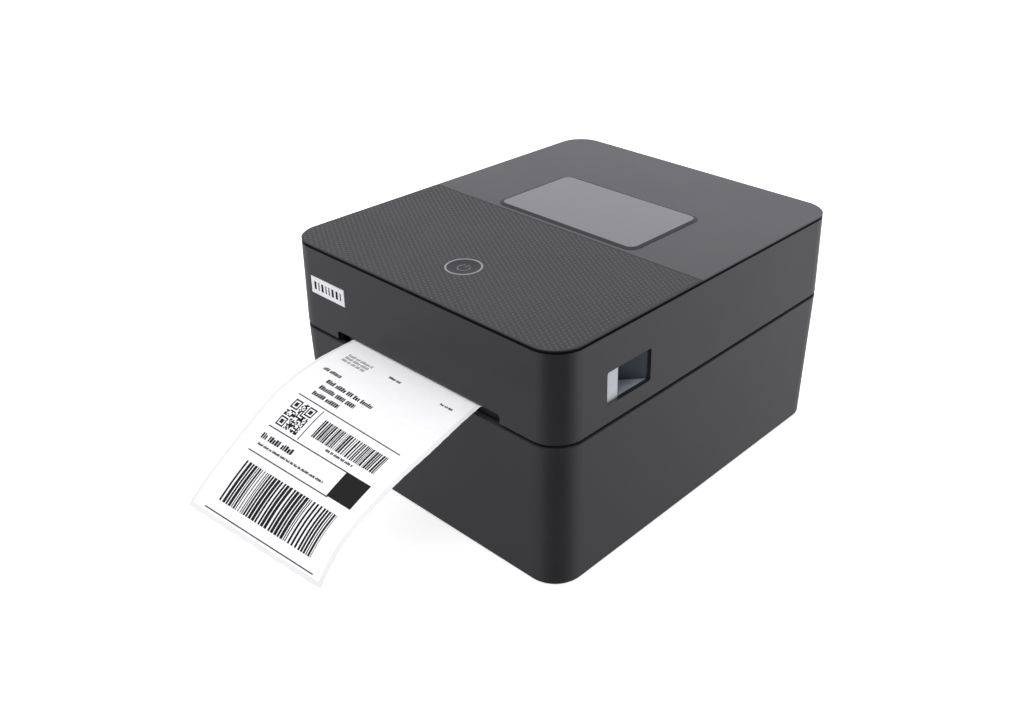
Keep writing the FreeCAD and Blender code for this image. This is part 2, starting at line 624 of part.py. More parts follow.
def feed_motor():
    x0 = SIDE_X - MOTOR_LENGTH
    half = MOTOR_SIZE / 2
    low_y, high_y, low_z, high_z = MOTOR_Y - half, MOTOR_Y + half, MOTOR_Z - half, MOTOR_Z + half
    can = cylinder_x(half, x0, SIDE_X, MOTOR_Y, MOTOR_Z)
    front_cap = box(SIDE_X - MOTOR_CAP, SIDE_X, low_y, high_y, low_z, high_z)
    back_cap = box(x0, x0 + MOTOR_CAP, low_y, high_y, low_z, high_z)
    boss = cylinder_x(MOTOR_BOSS_R, SIDE_X, SIDE_X + SIDE_THICK, MOTOR_Y, MOTOR_Z)
    bore_x0, bore_x1 = SIDE_X - MOTOR_BORE_DEPTH, SIDE_X + SIDE_THICK + OVER
    bore = cylinder_x(MOTOR_SHAFT_R + FIT, bore_x0, bore_x1, MOTOR_Y, MOTOR_Z)
    return fused([can, front_cap, back_cap, boss]).cut(bore)


# ---- platen and its frame ----


def side_plate():
    """The right steel side plate, with a foot bent outwards and a hole for the platen's bush."""
    x0, x1 = SIDE_X, SIDE_X + SIDE_THICK
    plate = profile_x(SIDE_OUTLINE, x0, x1)
    foot = box(x0, x0 + SIDE_FOOT, SIDE_FOOT_Y0, SIDE_Y1, FLANGE_Z, FLANGE_Z + SIDE_THICK)
    hole = cylinder_x(BUSH_R, x0 - OVER, x1 + OVER, PLATEN_Y, PLATEN_Z)
    return plate.fuse(foot).cut(hole).removeSplitter()


def side_plate_right():
    x0, x1 = SIDE_X, SIDE_X + SIDE_THICK
    return side_plate().cut(cylinder_x(MOTOR_BOSS_R, x0 - OVER, x1 + OVER, MOTOR_Y, MOTOR_Z))


def side_plate_left():
    return mirrored_x(side_plate())


def platen_bushes():
    x0, x1 = SIDE_X, SIDE_X + SIDE_THICK
    flange_x = x0 - BUSH_FLANGE_THICK
    sleeve = cylinder_x(BUSH_R, x0, x1, PLATEN_Y, PLATEN_Z)
    flange = cylinder_x(BUSH_FLANGE_R, flange_x, x0, PLATEN_Y, PLATEN_Z)
    bore = cylinder_x(SHAFT_R + FIT, flange_x - OVER, x1 + OVER, PLATEN_Y, PLATEN_Z)
    return both_sides(sleeve.fuse(flange).cut(bore))


def platen_shaft():
    left = -SIDE_X - SIDE_THICK - SHAFT_END_LEFT
    thin = cylinder_x(SHAFT_R, left, GEAR_X0 + GEAR_FACE + SHAFT_END_RIGHT, PLATEN_Y, PLATEN_Z)
    return thin.fuse(cylinder_x(PLATEN_CORE_R, -PLATEN_HALF, PLATEN_HALF, PLATEN_Y, PLATEN_Z))


def platen_rubber():
    return tube_x(PLATEN_R, PLATEN_CORE_R, -PLATEN_HALF, PLATEN_HALF, PLATEN_Y, PLATEN_Z)


def front_deck():
    """The deck round the platen, in front of the roll."""
    top = DECK_Z + DECK_PLATE
    y1 = FRONT_DECK_Y1 - PLAY
    low, high = DECK_Z - OVER, top + OVER
    deck = case_block(((DECK_Z, WALL + FLOOR_GAP), (top, WALL + FLOOR_GAP)))
    deck = deck.common(box(-FAR, FAR, FRONT_DECK_Y0, y1, DECK_Z, top))
    slot = box(-SLOT_X - OVER, SLOT_X + OVER, -FAR, PLATEN_Y, top, FAR)
    deck = deck.fuse(deck_rim(FRONT_DECK_Y0, y1)).cut(slot)
    hood_x = OUTER_GEAR_X0 + GEAR_FACE + OVER
    deck = deck.cut(box(-GEAR_X0 - SHAFT_END_LEFT, OUTER_GEAR_X0, WELL_Y0, WELL_Y1, low, high))
    deck = deck.cut(box(SIDE_X, hood_x, WELL_Y0, GEAR_WELL_Y1, low, high))
    room = LATCH_TRAVEL + OVER
    notch = box(ARM_X0 - OVER, ARM_X1 + OVER, ARM_Y0 - room, ARM_Y1 + OVER, low, high)
    for cutter in both_sides(notch):
        deck = deck.cut(cutter)
    return fused([deck, profile_x(LIP_OUTLINE, -LIP_X, LIP_X)])


def gear_hood():
    """A cover over the gears where they stand above the deck."""
    z0 = DECK_Z + DECK_PLATE
    x0, x1 = SIDE_X + SIDE_THICK + LOOSE, OUTER_GEAR_X0 + GEAR_FACE + 2 * HOOD_WALL
    outer = box(x0, x1, HOOD_Y0, HOOD_Y1, z0, HOOD_TOP)
    y0, y1 = HOOD_Y0 + HOOD_WALL, HOOD_Y1 - HOOD_WALL
    inner = box(x0 - OVER, x1 - HOOD_WALL, y0, y1, z0 - OVER, HOOD_TOP - HOOD_WALL)
    return outer.cut(inner)


def sensor_rail():
    z0 = DECK_Z + DECK_PLATE
    rail = box(-RAIL_X, RAIL_X, SENSOR_Y0, SENSOR_Y1, z0, RAIL_TOP)
    groove_x = RAIL_X - RAIL_END
    y0, y1 = SENSOR_Y0 + RAIL_SIDE, SENSOR_Y1 - RAIL_SIDE
    groove = box(-groove_x, groove_x, y0, y1, z0 + OVER, RAIL_TOP + OVER)
    return rail.cut(groove)


def gap_sensor():
    """The optical sensor that finds the gaps between labels, on a tongue in the rail's groove."""
    block = box(-SENSOR_X, SENSOR_X, SENSOR_Y0 + OVER, SENSOR_Y1 - OVER, SENSOR_Z0, SENSOR_Z1)
    side = RAIL_SIDE + FIT + PLAY
    tongue_z = DECK_Z + DECK_PLATE + OVER + PLAY
    tongue_x, tongue_top = SENSOR_X - OVER, SENSOR_Z0 + PLAY
    tongue = box(-tongue_x, tongue_x, SENSOR_Y0 + side, SENSOR_Y1 - side, tongue_z, tongue_top)
    lens = cylinder_z(LENS_R, SENSOR_Z1 - LENS_DEPTH, SENSOR_Z1 + OVER, 0, (SENSOR_Y0 + SENSOR_Y1) / 2)
    return fused([block, tongue]).cut(lens)


# ---- label ----


def web_path():
    """The stock's middle line inside the printer: tangent to the roll, then level over the platen."""
    gap_r = ROLL_R + CLEAR + WEB_THICK / 2
    dy, dz = ROLL_Y - WEB_FLAT_Y, ROLL_Z - WEB_Z
    reach = math.hypot(dy, dz)
    slope = math.atan2(dz, dy) + math.asin(gap_r / reach)
    length = math.sqrt(reach * reach - gap_r * gap_r)
    return [
        (WEB_FLAT_Y + length * math.cos(slope), WEB_Z + length * math.sin(slope)),
        (WEB_FLAT_Y, WEB_Z),
        (LABEL_LINE[0][0] + WEB_END, WEB_Z),
    ]


def strip(path, half_width, thickness):
    """A thin strip that follows a line of (y, z) points, across the printer's middle."""
    line = Part.BSplineCurve()
    line.interpolate([V(0, y, z) for y, z in path])
    return strip_solid(line.toShape(), half_width, thickness)


def strip_solid(edge, half_width, thickness):
    first, last = edge.FirstParameter, edge.LastParameter
    upper, lower = [], []
    for i in range(STRIP_STEPS + 1):
        t = first + (last - first) * i / STRIP_STEPS
        p, d = edge.valueAt(t), edge.tangentAt(t)
        side = V(0, -d.z, d.y) * (thickness / 2)
        upper.append(p + side)
        lower.append(p - side)
    curves = []
    for points in (upper, lower[::-1]):
        spline = Part.BSplineCurve()
        spline.interpolate(points)
        curves.append(spline.toShape())
    ends = [
        Part.LineSegment(upper[-1], lower[-1]).toShape(),
        Part.LineSegment(lower[0], upper[0]).toShape(),
    ]
    face = Part.Face(Part.Wire([curves[0], ends[0], curves[1], ends[1]]))
    face.translate(V(-half_width, 0, 0))
    return face.extrude(V(2 * half_width, 0, 0))


def label_web():
    points = web_path()
    t = WEB_THICK / 2
    (y0, z0), (y1, z1), (y2, z2) = points
    length = math.hypot(y0 - y1, z0 - z1)
    ny, nz = -(z0 - z1) / length * t, (y0 - y1) / length * t
    bend = t * math.tan(math.atan2(z0 - z1, y0 - y1) / 2)
    outline = (
        (y0 + ny, z0 + nz),
        (y1 - bend, z1 + t),
        (y2, z2 + t),
        (y2, z2 - t),
        (y1 + bend, z1 - t),
        (y0 - ny, z0 - nz),
    )
    return profile_x(outline, -LABEL_WIDTH / 2, LABEL_WIDTH / 2)


def printed_label():
    return strip(LABEL_LINE, LABEL_WIDTH / 2, WEB_THICK)


# ---- cover ----


def cover_shell():
    shell = case_block(((COVER_BOTTOM, EDGE), (COVER_BOTTOM + EDGE, 0), (DECK_TOP, 0)))
    shell = shell.cut(case_block(((COVER_BOTTOM - OVER, WALL), (DECK_UNDER, WALL))))
    slot = box(-SLOT_X, SLOT_X, -FAR, -DEPTH / 2 + 2 * WALL, 0, SLOT_TOP)
    slot = slot.makeFillet(SLOT_R, [e for e in slot.Edges if upper_y_edge(e, SLOT_TOP)])
    fanfold = box(-FANFOLD_X, FANFOLD_X, DEPTH / 2 - 2 * WALL, FAR, 0, FANFOLD_TOP)
    fanfold = fanfold.makeFillet(SLOT_R, [e for e in fanfold.Edges if upper_y_edge(e, FANFOLD_TOP)])
    shell = shell.cut(slot).cut(fanfold)
    shell = shell.cut(
        rounded_block(
            -PANE_X + PANE_REST,
            PANE_X - PANE_REST,
            PANE_Y0 + PANE_REST,
            PANE_Y1 - PANE_REST,
            PANE_HOLE_R,
            DECK_UNDER - OVER,
            DECK_TOP + OVER,
        )
    )
    shell = shell.cut(cylinder_z(STEM_R + STEM_GAP, DECK_UNDER - OVER, DECK_TOP + OVER, 0, BUTTON_Y))
    for cutter in both_sides(latch_opening()) + both_sides(latch_pocket()):
        shell = shell.cut(cutter)
    arms = both_sides(
        hinge_knuckle(*KNUCKLE_SPAN_COVER, COVER_BOTTOM, COVER_BOTTOM + ARM_DROP, HINGE_PIN_R + FIT)
    )
    bosses = both_sides(cylinder_z(BOARD_BOSS_R, BUTTON_BOARD_TOP, DECK_UNDER, BOARD_BOSS_X, BUTTON_Y))
    post_z = FRAME_Z + FRAME_THICK
    posts = [cylinder_z(COVER_POST_R, post_z, DECK_UNDER, x, y) for x, y in cover_screw_places()]
    return fused([shell] + arms + bosses + posts)


def upper_y_edge(edge, top):
    """True for a box's top edges that run along Y."""
    b = edge.BoundBox
    return abs(b.ZMin - top) < TINY and b.YLength > OVER and b.XLength < TINY


def latch_opening():
    """The window in the right wall that shows the latch, with round corners."""
    block = box(LATCH_FACE - 2 * WALL, WIDTH / 2 + OVER, LATCH_Y0, LATCH_Y1, LATCH_Z0, LATCH_Z1)
    return block.makeFillet(LATCH_OPENING_R, [e for e in block.Edges if e.BoundBox.XLength > OVER])


def latch_pocket():
    """Room behind the right wall for the latch plate to slide in."""
    return box(
        LATCH_FACE - 2 * WALL,
        LATCH_FACE + LATCH_GAP,
        LATCH_Y0 - LATCH_LAP - LATCH_TRAVEL - OVER,
        LATCH_Y1 + LATCH_LAP + OVER,
        LATCH_Z0 - LATCH_ROOM_Z,
        LATCH_Z1 + LATCH_ROOM_Z,
    )


def cover_screw_places():
    return [(x, y) for x in (-COVER_SCREW_X, COVER_SCREW_X) for y in COVER_SCREW_YS]


def top_plate():
    """The whole top plate on its neck, before it is split at the divider."""
    plate_z = HEIGHT - PLATE_THICK
    neck = case_block(((DECK_TOP, NECK_INSET), (plate_z, NECK_INSET)))
    levels = (
        (plate_z, PLATE_UNDERCUT),
        (plate_z + PLATE_UNDERCUT, 0),
        (HEIGHT - PLATE_CHAMFER, 0),
        (HEIGHT, PLATE_CHAMFER),
    )
    return neck.fuse(case_block(levels))


def top_panel_front():
    panel = top_plate().common(box(-FAR, FAR, -FAR, DIVIDER_Y - DIVIDER_GAP / 2, 0, FAR))
    return panel.cut(cylinder_z(RING_R, DECK_TOP - OVER, HEIGHT + OVER, 0, BUTTON_Y))


def top_panel_rear():
    panel = top_plate().common(box(-FAR, FAR, DIVIDER_Y + DIVIDER_GAP / 2, FAR, 0, FAR))
    grow = PANE_BEVEL + PANE_GROOVE
    return panel.cut(pane_block(grow, DECK_TOP - OVER, HEIGHT + OVER))


def pane_wire(grow, z):
    return rounded_wire(-PANE_X - grow, PANE_X + grow, PANE_Y0 - grow, PANE_Y1 + grow, PANE_R + grow, z)


def pane_block(grow, z0, z1):
    return Part.Face(pane_wire(grow, z0)).extrude(V(0, 0, z1 - z0))


def window_pane():
    bevel = Part.makeLoft([pane_wire(PANE_BEVEL, HEIGHT), pane_wire(0, HEIGHT + PANE_RISE)], True, True)
    return pane_block(PANE_BEVEL, DECK_TOP, HEIGHT).fuse(bevel)


def light_ring():
    return tube_z(RING_R, RING_R - RING_STROKE, DECK_TOP, HEIGHT, 0, BUTTON_Y)


def feed_button():
    """A round button with a dished top, on a stem with a stop flange under the deck."""
    top, radius = HEIGHT - BUTTON_SINK, RING_R - RING_STROKE - BUTTON_GAP
    disc = cylinder_z(radius, top - BUTTON_THICK, top, 0, BUTTON_Y)
    dish = Part.makeSphere(DISH_R, V(0, BUTTON_Y, top - DISH_DEPTH + DISH_R))
    stem = cylinder_z(STEM_R, STEM_END_Z, top - BUTTON_THICK, 0, BUTTON_Y)
    flange = cylinder_z(STEM_FLANGE_R, STEM_FLANGE_Z, DECK_UNDER - STEM_FLANGE_GAP, 0, BUTTON_Y)
    return fused([disc, stem, flange]).cut(dish)


def button_board():
    """The small board under the button, with its push switch."""
    z1 = BUTTON_BOARD_TOP
    body_z = z1 + SWITCH_BODY_H
    y0, y1 = BUTTON_Y - BUTTON_BOARD_Y, BUTTON_Y + BUTTON_BOARD_Y
    board = box(-BUTTON_BOARD_X, BUTTON_BOARD_X, y0, y1, z1 - BOARD_THICK, z1)
    body = box(-SWITCH_HALF, SWITCH_HALF, BUTTON_Y - SWITCH_HALF, BUTTON_Y + SWITCH_HALF, z1, body_z)
    return fused([board, body, cylinder_z(PLUNGER_R, body_z, body_z + PLUNGER_H, 0, BUTTON_Y)])


def button_spring():
    inner = RETURN_SPRING_R - RETURN_WIRE
    return tube_z(RETURN_SPRING_R, inner, BUTTON_BOARD_TOP, STEM_FLANGE_Z, 0, BUTTON_Y)


def badge_plate():
    skin = case_block(((BADGE_Z0, -BADGE_PROUD), (BADGE_Z1, -BADGE_PROUD)))
    skin = skin.common(box(BADGE_X0, BADGE_X1, -FAR, 0, BADGE_Z0, BADGE_Z1))
    return skin.cut(case_block(((BADGE_Z0 - OVER, 0), (BADGE_Z1 + OVER, 0))))


def release_latch():
    """The right latch: a grey bar to pull on, a scoop behind it for a finger, and a hook arm."""
    y0, y1 = LATCH_Y0 - LATCH_LAP, LATCH_Y1 + LATCH_LAP - LOOSE
    x_in = LATCH_FACE - LATCH_THICK
    plate = box(x_in, LATCH_FACE, y0, y1, LATCH_Z0 - LATCH_LAP_Z, LATCH_Z1 + LATCH_LAP_Z)
    arm = box(ARM_X0, ARM_X1, ARM_Y0, ARM_Y1, ARM_BOTTOM, LATCH_Z0)
    nose_outline = (
        (ARM_Y0, ARM_BOTTOM),
        (ARM_Y0 - NOSE_REACH, ARM_BOTTOM + NOSE_TIP),
        (ARM_Y0, ARM_BOTTOM + NOSE_TOP),
    )
    nose = profile_x(nose_outline, ARM_X0, ARM_X1)
    return fused([plate, scoop_cup(), arm, nose]).cut(scoop_hollow())


def scoop_cup():
    """The block behind the latch plate that the scoop is sunk in."""
    y0, y1 = LATCH_Y0 + LATCH_BAR - SCOOP_WALL, LATCH_Y1 - SCOOP_END + SCOOP_WALL
    x0 = LATCH_FACE - SCOOP_DEPTH - SCOOP_WALL
    return box(x0, LATCH_FACE - LATCH_THICK, y0, y1, LATCH_Z0 - OVER, LATCH_Z1 + OVER)


def scoop_hollow():
    """The scoop, deepest behind the bar, with a back wall that slopes out towards the rear."""
    y0 = LATCH_Y0 + LATCH_BAR
    deep_x, out_x, z0 = LATCH_FACE - SCOOP_DEPTH, LATCH_FACE + OVER, LATCH_Z0 + SCOOP_EDGE_Z
    outline = [
        V(out_x, y0, z0),
        V(out_x, LATCH_Y1, z0),
        V(deep_x, y0 + SCOOP_FLOOR_Y, z0),
        V(deep_x, y0, z0),
    ]
    return prism(outline, V(0, 0, LATCH_Z1 - LATCH_Z0 - 2 * SCOOP_EDGE_Z))


def latch_catches():
    """A post on each side of the base that the hook closes behind."""
    y1 = ARM_Y0 - NOSE_REACH - LOOSE - LATCH_TRAVEL
    return both_sides(box(ARM_X0 - OVER, ARM_X1 + OVER, y1 - CATCH_LENGTH, y1, CATCH_BOTTOM, DECK_Z))


def cover_frame():
    """The plate inside the cover that carries the print head and stiffens the top."""
    z0, z1 = FRAME_Z, FRAME_Z + FRAME_THICK
    y0, y1 = BUTTON_Y - FRAME_HOLE_Y, BUTTON_Y + FRAME_HOLE_Y
    plate = rounded_block(-FRAME_X, FRAME_X, FRAME_Y0, FRAME_Y1, FRAME_R, z0, z1)
    plate = plate.cut(rounded_block(-FRAME_HOLE_X, FRAME_HOLE_X, y0, y1, FRAME_HOLE_R, z0 - OVER, z1 + OVER))
    return fused([plate, box(-RIB_X, RIB_X, FRAME_Y0, FRAME_Y0 + RIB_THICK, RIB_BOTTOM, z0)])


def cover_screws():
    screws = []
    head_z = FRAME_Z - SCREW_HEAD_H
    for x, y in cover_screw_places():
        head = cylinder_z(SCREW_HEAD_R, head_z, FRAME_Z, x, y)
        screws.append(head.cut(screw_slot(x, y, head_z)))
    return screws


def tear_bar():
    """A steel angle with a saw edge, over the slot."""
    step = 2 * TEAR_X / TEAR_TEETH
    points = [V(TEAR_X, TEAR_BACK, TEAR_Z0), V(TEAR_X, TEAR_ROOT, TEAR_Z0)]
    for i in range(TEAR_TEETH):
        x = TEAR_X - i * step
        points += [V(x - step / 2, TEAR_FRONT, TEAR_Z0), V(x - step, TEAR_ROOT, TEAR_Z0)]
    points.append(V(-TEAR_X, TEAR_BACK, TEAR_Z0))
    blade = prism(points, V(0, 0, TEAR_THICK))
    return fused([blade, box(-TEAR_X, TEAR_X, TEAR_BACK - TEAR_LEG, TEAR_BACK, TEAR_Z0, TEAR_TOP)])


def head_bracket():
    """Two steel ears that hang from the cover frame and carry the head's pin."""
    y0, y1 = HEAD_PIVOT_Y - EAR_HALF_Y, HEAD_PIVOT_Y + EAR_HALF_Y
    ear = box(EAR_X, EAR_X + SIDE_THICK, y0, y1, HEAD_PIVOT_Z - LUG_ROUND, FRAME_Z)
    foot = box(EAR_X, EAR_X + EAR_FOOT, y0, y1, FRAME_Z - SIDE_THICK, FRAME_Z)
    pin = cylinder_x(HEAD_PIN_R, 0, FAR, HEAD_PIVOT_Y, HEAD_PIVOT_Z)
    return both_sides(ear.fuse(foot).cut(pin))


def head_pin():
    half = EAR_X + 2 * SIDE_THICK
    return cylinder_x(HEAD_PIN_R, -half, half, HEAD_PIVOT_Y, HEAD_PIVOT_Z)


def thermal_head():
    """The ceramic strip with the heating line over the platen."""
    y0, y1 = HEAD_Y0 + HEAD_FRONT, HEAD_Y1 - HEAD_BACK
    return box(-PLATEN_HALF, PLATEN_HALF, y0, y1, HEAD_Z, HEAD_Z + HEAD_THICK)


def heat_sink():
    """The finned aluminium block that the ceramic is glued to, with two lugs for the pin."""
    z0 = HEAD_Z + HEAD_THICK
    block = box(-SINK_X, SINK_X, HEAD_Y0, HEAD_Y1, z0, SINK_TOP)
    for i in range(FIN_COUNT):
        y = HEAD_Y0 + FIN_START + i * FIN_PITCH
        for x0, x1 in FIN_SPANS:
            block = block.cut(box(x0, x1, y, y + FIN_GAP, z0 + SINK_BASE, SINK_TOP + OVER))
    y1 = HEAD_PIVOT_Y + LUG_ROUND
    lug = box(LUG_X, SINK_X, HEAD_Y1, y1, HEAD_PIVOT_Z - LUG_BELOW, HEAD_PIVOT_Z + LUG_ROUND)
    bore = cylinder_x(HEAD_PIN_R + FIT, -FAR, FAR, HEAD_PIVOT_Y, HEAD_PIVOT_Z)
    return fused([block] + both_sides(lug)).cut(bore)


def head_springs():
    y = (HEAD_Y0 + HEAD_Y1) / 2
    return [tube_z(SPRING_R, SPRING_R - SPRING_WIRE, SINK_TOP, FRAME_Z, x, y) for x in SPRING_XS]


# ---- electronics ----


def main_board():
    board = box(BOARD_X0, BOARD_X1, BOARD_Y0, BOARD_Y1, BOARD_Z, BOARD_Z + BOARD_THICK)
    places = [(x, y) for x in BOARD_POST_XS for y in BOARD_POST_YS]
    return fused([board] + [cylinder_z(BOARD_POST_R, FLANGE_Z, BOARD_Z, x, y) for x, y in places])


def board_parts():
    z = BOARD_Z + BOARD_THICK
    chips = [box(x0, x1, y0, y1, z, z + tall) for x0, x1, y0, y1, tall in CHIPS]
    return chips + [cylinder_z(CAPACITOR_R, z, z + CAPACITOR_H, x, y) for x, y in CAPACITORS]


def power_inlet():
    """A barrel socket with a centre pin, on the board behind the rear wall."""
    rear = DEPTH / 2
    y1 = rear - WALL - DC_WALL_GAP
    z0, z1 = BOARD_Z + BOARD_THICK, SOCKET_Z + DC_TOP
    body = box(DC_X - DC_HALF, DC_X + DC_HALF, y1 - DC_LENGTH, y1, z0, z1)
    nose = cylinder_y(DC_NOSE_R, y1, rear - OVER, DC_X, SOCKET_Z)
    bore = cylinder_y(DC_BORE_R, y1 - DC_BORE_DEPTH, rear, DC_X, SOCKET_Z)
    pin = cylinder_y(DC_PIN_R, y1 - DC_BORE_DEPTH - OVER, rear - DC_PIN_SINK, DC_X, SOCKET_Z)
    return fused([body.fuse(nose).cut(bore), pin])


def data_port():
    """A square data socket: a bent steel shell round a flat tongue."""
    y1 = DEPTH / 2 - USB_SINK
    half_x, half_z = USB_W / 2 - PLAY, USB_H / 2 - PLAY
    z0 = max(BOARD_Z + BOARD_THICK, SOCKET_Z - half_z)
    shell = box(USB_X - half_x, USB_X + half_x, y1 - USB_LENGTH, y1, z0, SOCKET_Z + half_z)
    z0, z1 = SOCKET_Z - USB_MOUTH_Z, SOCKET_Z + USB_MOUTH_Z
    mouth = box(USB_X - USB_MOUTH_X, USB_X + USB_MOUTH_X, y1 - USB_DEPTH, y1 + OVER, z0, z1)
    z0, z1 = SOCKET_Z - TONGUE_Z, SOCKET_Z + TONGUE_Z
    tongue = box(USB_X - TONGUE_X, USB_X + TONGUE_X, y1 - USB_DEPTH - OVER, y1 - OVER, z0, z1)
    return fused([shell.cut(mouth), tongue])


def switch_housing():
    """The rocker's housing, pushed into the rear wall up to its flange, with two pivot pins inside."""
    rear = DEPTH / 2
    y0, y1 = rear - SWITCH_LENGTH, rear + SWITCH_PROUD
    body_x, body_z = SWITCH_W / 2 - PLAY, SWITCH_H / 2 - PLAY
    body = box(SWITCH_X - body_x, SWITCH_X + body_x, y0, rear, SWITCH_Z - body_z, SWITCH_Z + body_z)
    z0, z1 = SWITCH_Z - SWITCH_RIM_Z, SWITCH_Z + SWITCH_RIM_Z
    rim = box(SWITCH_X - SWITCH_RIM_X, SWITCH_X + SWITCH_RIM_X, rear - FIT, y1, z0, z1)
    z0, z1 = SWITCH_Z - SWITCH_WELL_Z, SWITCH_Z + SWITCH_WELL_Z
    x0, x1 = SWITCH_X - SWITCH_WELL_X, SWITCH_X + SWITCH_WELL_X
    well = box(x0, x1, y0 + SWITCH_BACK, y1 + OVER, z0, z1)
    length = SWITCH_WELL_X - ROCKER_X + 2 * OVER
    pins = [
        cylinder_x(ROCKER_PIN_R, x0 - PLAY, x0 - PLAY + length, ROCKER_PIVOT_Y, SWITCH_Z),
        cylinder_x(ROCKER_PIN_R, x1 + PLAY - length, x1 + PLAY, ROCKER_PIVOT_Y, SWITCH_Z),
    ]
    return fused([body, rim]).cut(well).multiFuse(pins)


def power_rocker():
    """The rocker, tilted to its on side. Its outer face is two flats that meet over the pivot."""
    rise = ROCKER_REACH * math.tan(math.radians(ROCKER_TILT))
    front, back = ROCKER_PIVOT_Y + ROCKER_FRONT, ROCKER_PIVOT_Y - ROCKER_BACK
    outline = (
        (back, SWITCH_Z - ROCKER_BACK_Z),
        (front + rise, SWITCH_Z - ROCKER_REACH),
        (front, SWITCH_Z),
        (front + rise, SWITCH_Z + ROCKER_REACH),
        (back, SWITCH_Z + ROCKER_BACK_Z),
    )
    rocker = profile_x(outline, SWITCH_X - ROCKER_X, SWITCH_X + ROCKER_X)
    rocker = rocker.cut(cylinder_x(ROCKER_PIN_R + FIT, 0, FAR, ROCKER_PIVOT_Y, SWITCH_Z))
    rocker.rotate(V(SWITCH_X, ROCKER_PIVOT_Y, SWITCH_Z), X, ROCKER_TILT)
    return rocker


PARTS = {
    "base_shell": base_shell,
    "bottom_plate": bottom_plate,
    "rubber_feet": rubber_feet,
    "case_screws": case_screws,
    "hinge_pins": hinge_pins,
    "media_frame": media_frame,
    "pinion_stud": pinion_stud,
    "front_deck": front_deck,
    "gear_hood": gear_hood,
    "side_plate_left": side_plate_left,
    "side_plate_right": side_plate_right,
    "platen_bushes": platen_bushes,
    "idler_stud": idler_stud,
    "feed_motor": feed_motor,
    "sensor_rail": sensor_rail,
    "latch_catches": latch_catches,
    "label_web": label_web,
    "printed_label": printed_label,
    "main_board": main_board,
    "board_parts": board_parts,
    "power_inlet": power_inlet,
    "data_port": data_port,
    "switch_housing": switch_housing,
    "platen_shaft": platen_shaft,
    "platen_rubber": platen_rubber,
    "platen_gear": platen_gear,
    "idler_gear": idler_gear,
    "motor_shaft": motor_shaft,
    "motor_pinion": motor_pinion,
    "label_roll": label_roll,
    "roll_core": roll_core,
    "roll_guide_left": lambda: roll_guide(-1),
    "roll_guide_right": lambda: roll_guide(1),
    "guide_pinion": guide_pinion,
    "gap_sensor": gap_sensor,
    "power_rocker": power_rocker,
    "cover_shell": cover_shell,
    "top_panel_front": top_panel_front,
    "top_panel_rear": top_panel_rear,
    "window_pane": window_pane,
    "light_ring": light_ring,
    "badge_plate": badge_plate,
    "cover_frame": cover_frame,
    "cover_screws": cover_screws,
    "tear_bar": tear_bar,
    "head_bracket": head_bracket,
    "head_pin": head_pin,
    "head_springs": head_springs,
    "button_board": button_board,
    "button_spring": button_spring,
    "feed_button": feed_button,
    "thermal_head": thermal_head,
    "heat_sink": heat_sink,
    "latch_right": release_latch,
    "latch_left": lambda: mirrored_x(release_latch()),
}

os.makedirs("parts", exist_ok=True)
for name, make in PARTS.items():
    made = make()
    shape = Part.makeCompound(made) if isinstance(made, list) else made
    if not shape.isValid():
        print("not valid:", name)
    shape.exportStep(os.path.join("parts", name + ".step"))
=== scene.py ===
import math
import random

import bpy
from mathutils import Matrix, Vector


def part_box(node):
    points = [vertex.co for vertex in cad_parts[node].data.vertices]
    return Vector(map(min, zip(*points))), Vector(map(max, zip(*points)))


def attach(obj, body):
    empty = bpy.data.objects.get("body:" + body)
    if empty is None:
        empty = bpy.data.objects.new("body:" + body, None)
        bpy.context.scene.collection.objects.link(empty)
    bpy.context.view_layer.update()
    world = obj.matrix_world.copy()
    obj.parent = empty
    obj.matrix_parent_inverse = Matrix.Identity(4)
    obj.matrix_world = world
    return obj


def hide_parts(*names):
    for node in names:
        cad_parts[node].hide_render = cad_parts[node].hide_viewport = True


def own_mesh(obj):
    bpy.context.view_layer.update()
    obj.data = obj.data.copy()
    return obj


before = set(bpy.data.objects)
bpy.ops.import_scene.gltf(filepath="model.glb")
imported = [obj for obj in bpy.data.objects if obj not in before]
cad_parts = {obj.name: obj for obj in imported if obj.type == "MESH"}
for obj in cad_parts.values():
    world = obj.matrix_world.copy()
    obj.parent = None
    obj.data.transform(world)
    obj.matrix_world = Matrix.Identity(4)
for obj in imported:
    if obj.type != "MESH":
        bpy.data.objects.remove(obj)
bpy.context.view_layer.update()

MM = 0.001


# ---- Camera ----
# It stands to the right of the printer's front and looks down on it, as a person beside a desk would.

camera_data = bpy.data.cameras.new("camera")
camera_data.sensor_width = 36.0
camera_data.lens = 37.31
camera_data.shift_x, camera_data.shift_y = -0.0701, -0.0329
camera_data.clip_start = 0.01
camera = bpy.data.objects.new("camera", camera_data)
bpy.context.scene.collection.objects.link(camera)
bpy.context.scene.camera = camera
yaw, pitch, roll = math.radians(40.82), math.radians(28.12), math.radians(0.99)
camera_place = (0.38751, -0.43583, 0.38344)
camera.matrix_world = (
    Matrix.Translation(camera_place)
    @ Matrix.Rotation(yaw, 4, "Z")
    @ Matrix.Rotation(math.pi / 2 - pitch, 4, "X")
    @ Matrix.Rotation(roll, 4, "Z")
)


# ---- Base case ----
# The base is one injection moulding of black ABS with a fine spark-eroded skin.
# It stands on its lower rim, and the cover's hinge knuckles grow out of its rear wall.


def linear(colour):
    """An sRGB hex colour as the linear one that a shader takes."""
    parts = [int(colour[i : i + 2], 16) / 255 for i in (1, 3, 5)]
    return tuple(c / 12.92 if c <= 0.04045 else ((c + 0.055) / 1.055) ** 2.4 for c in parts) + (1.0,)


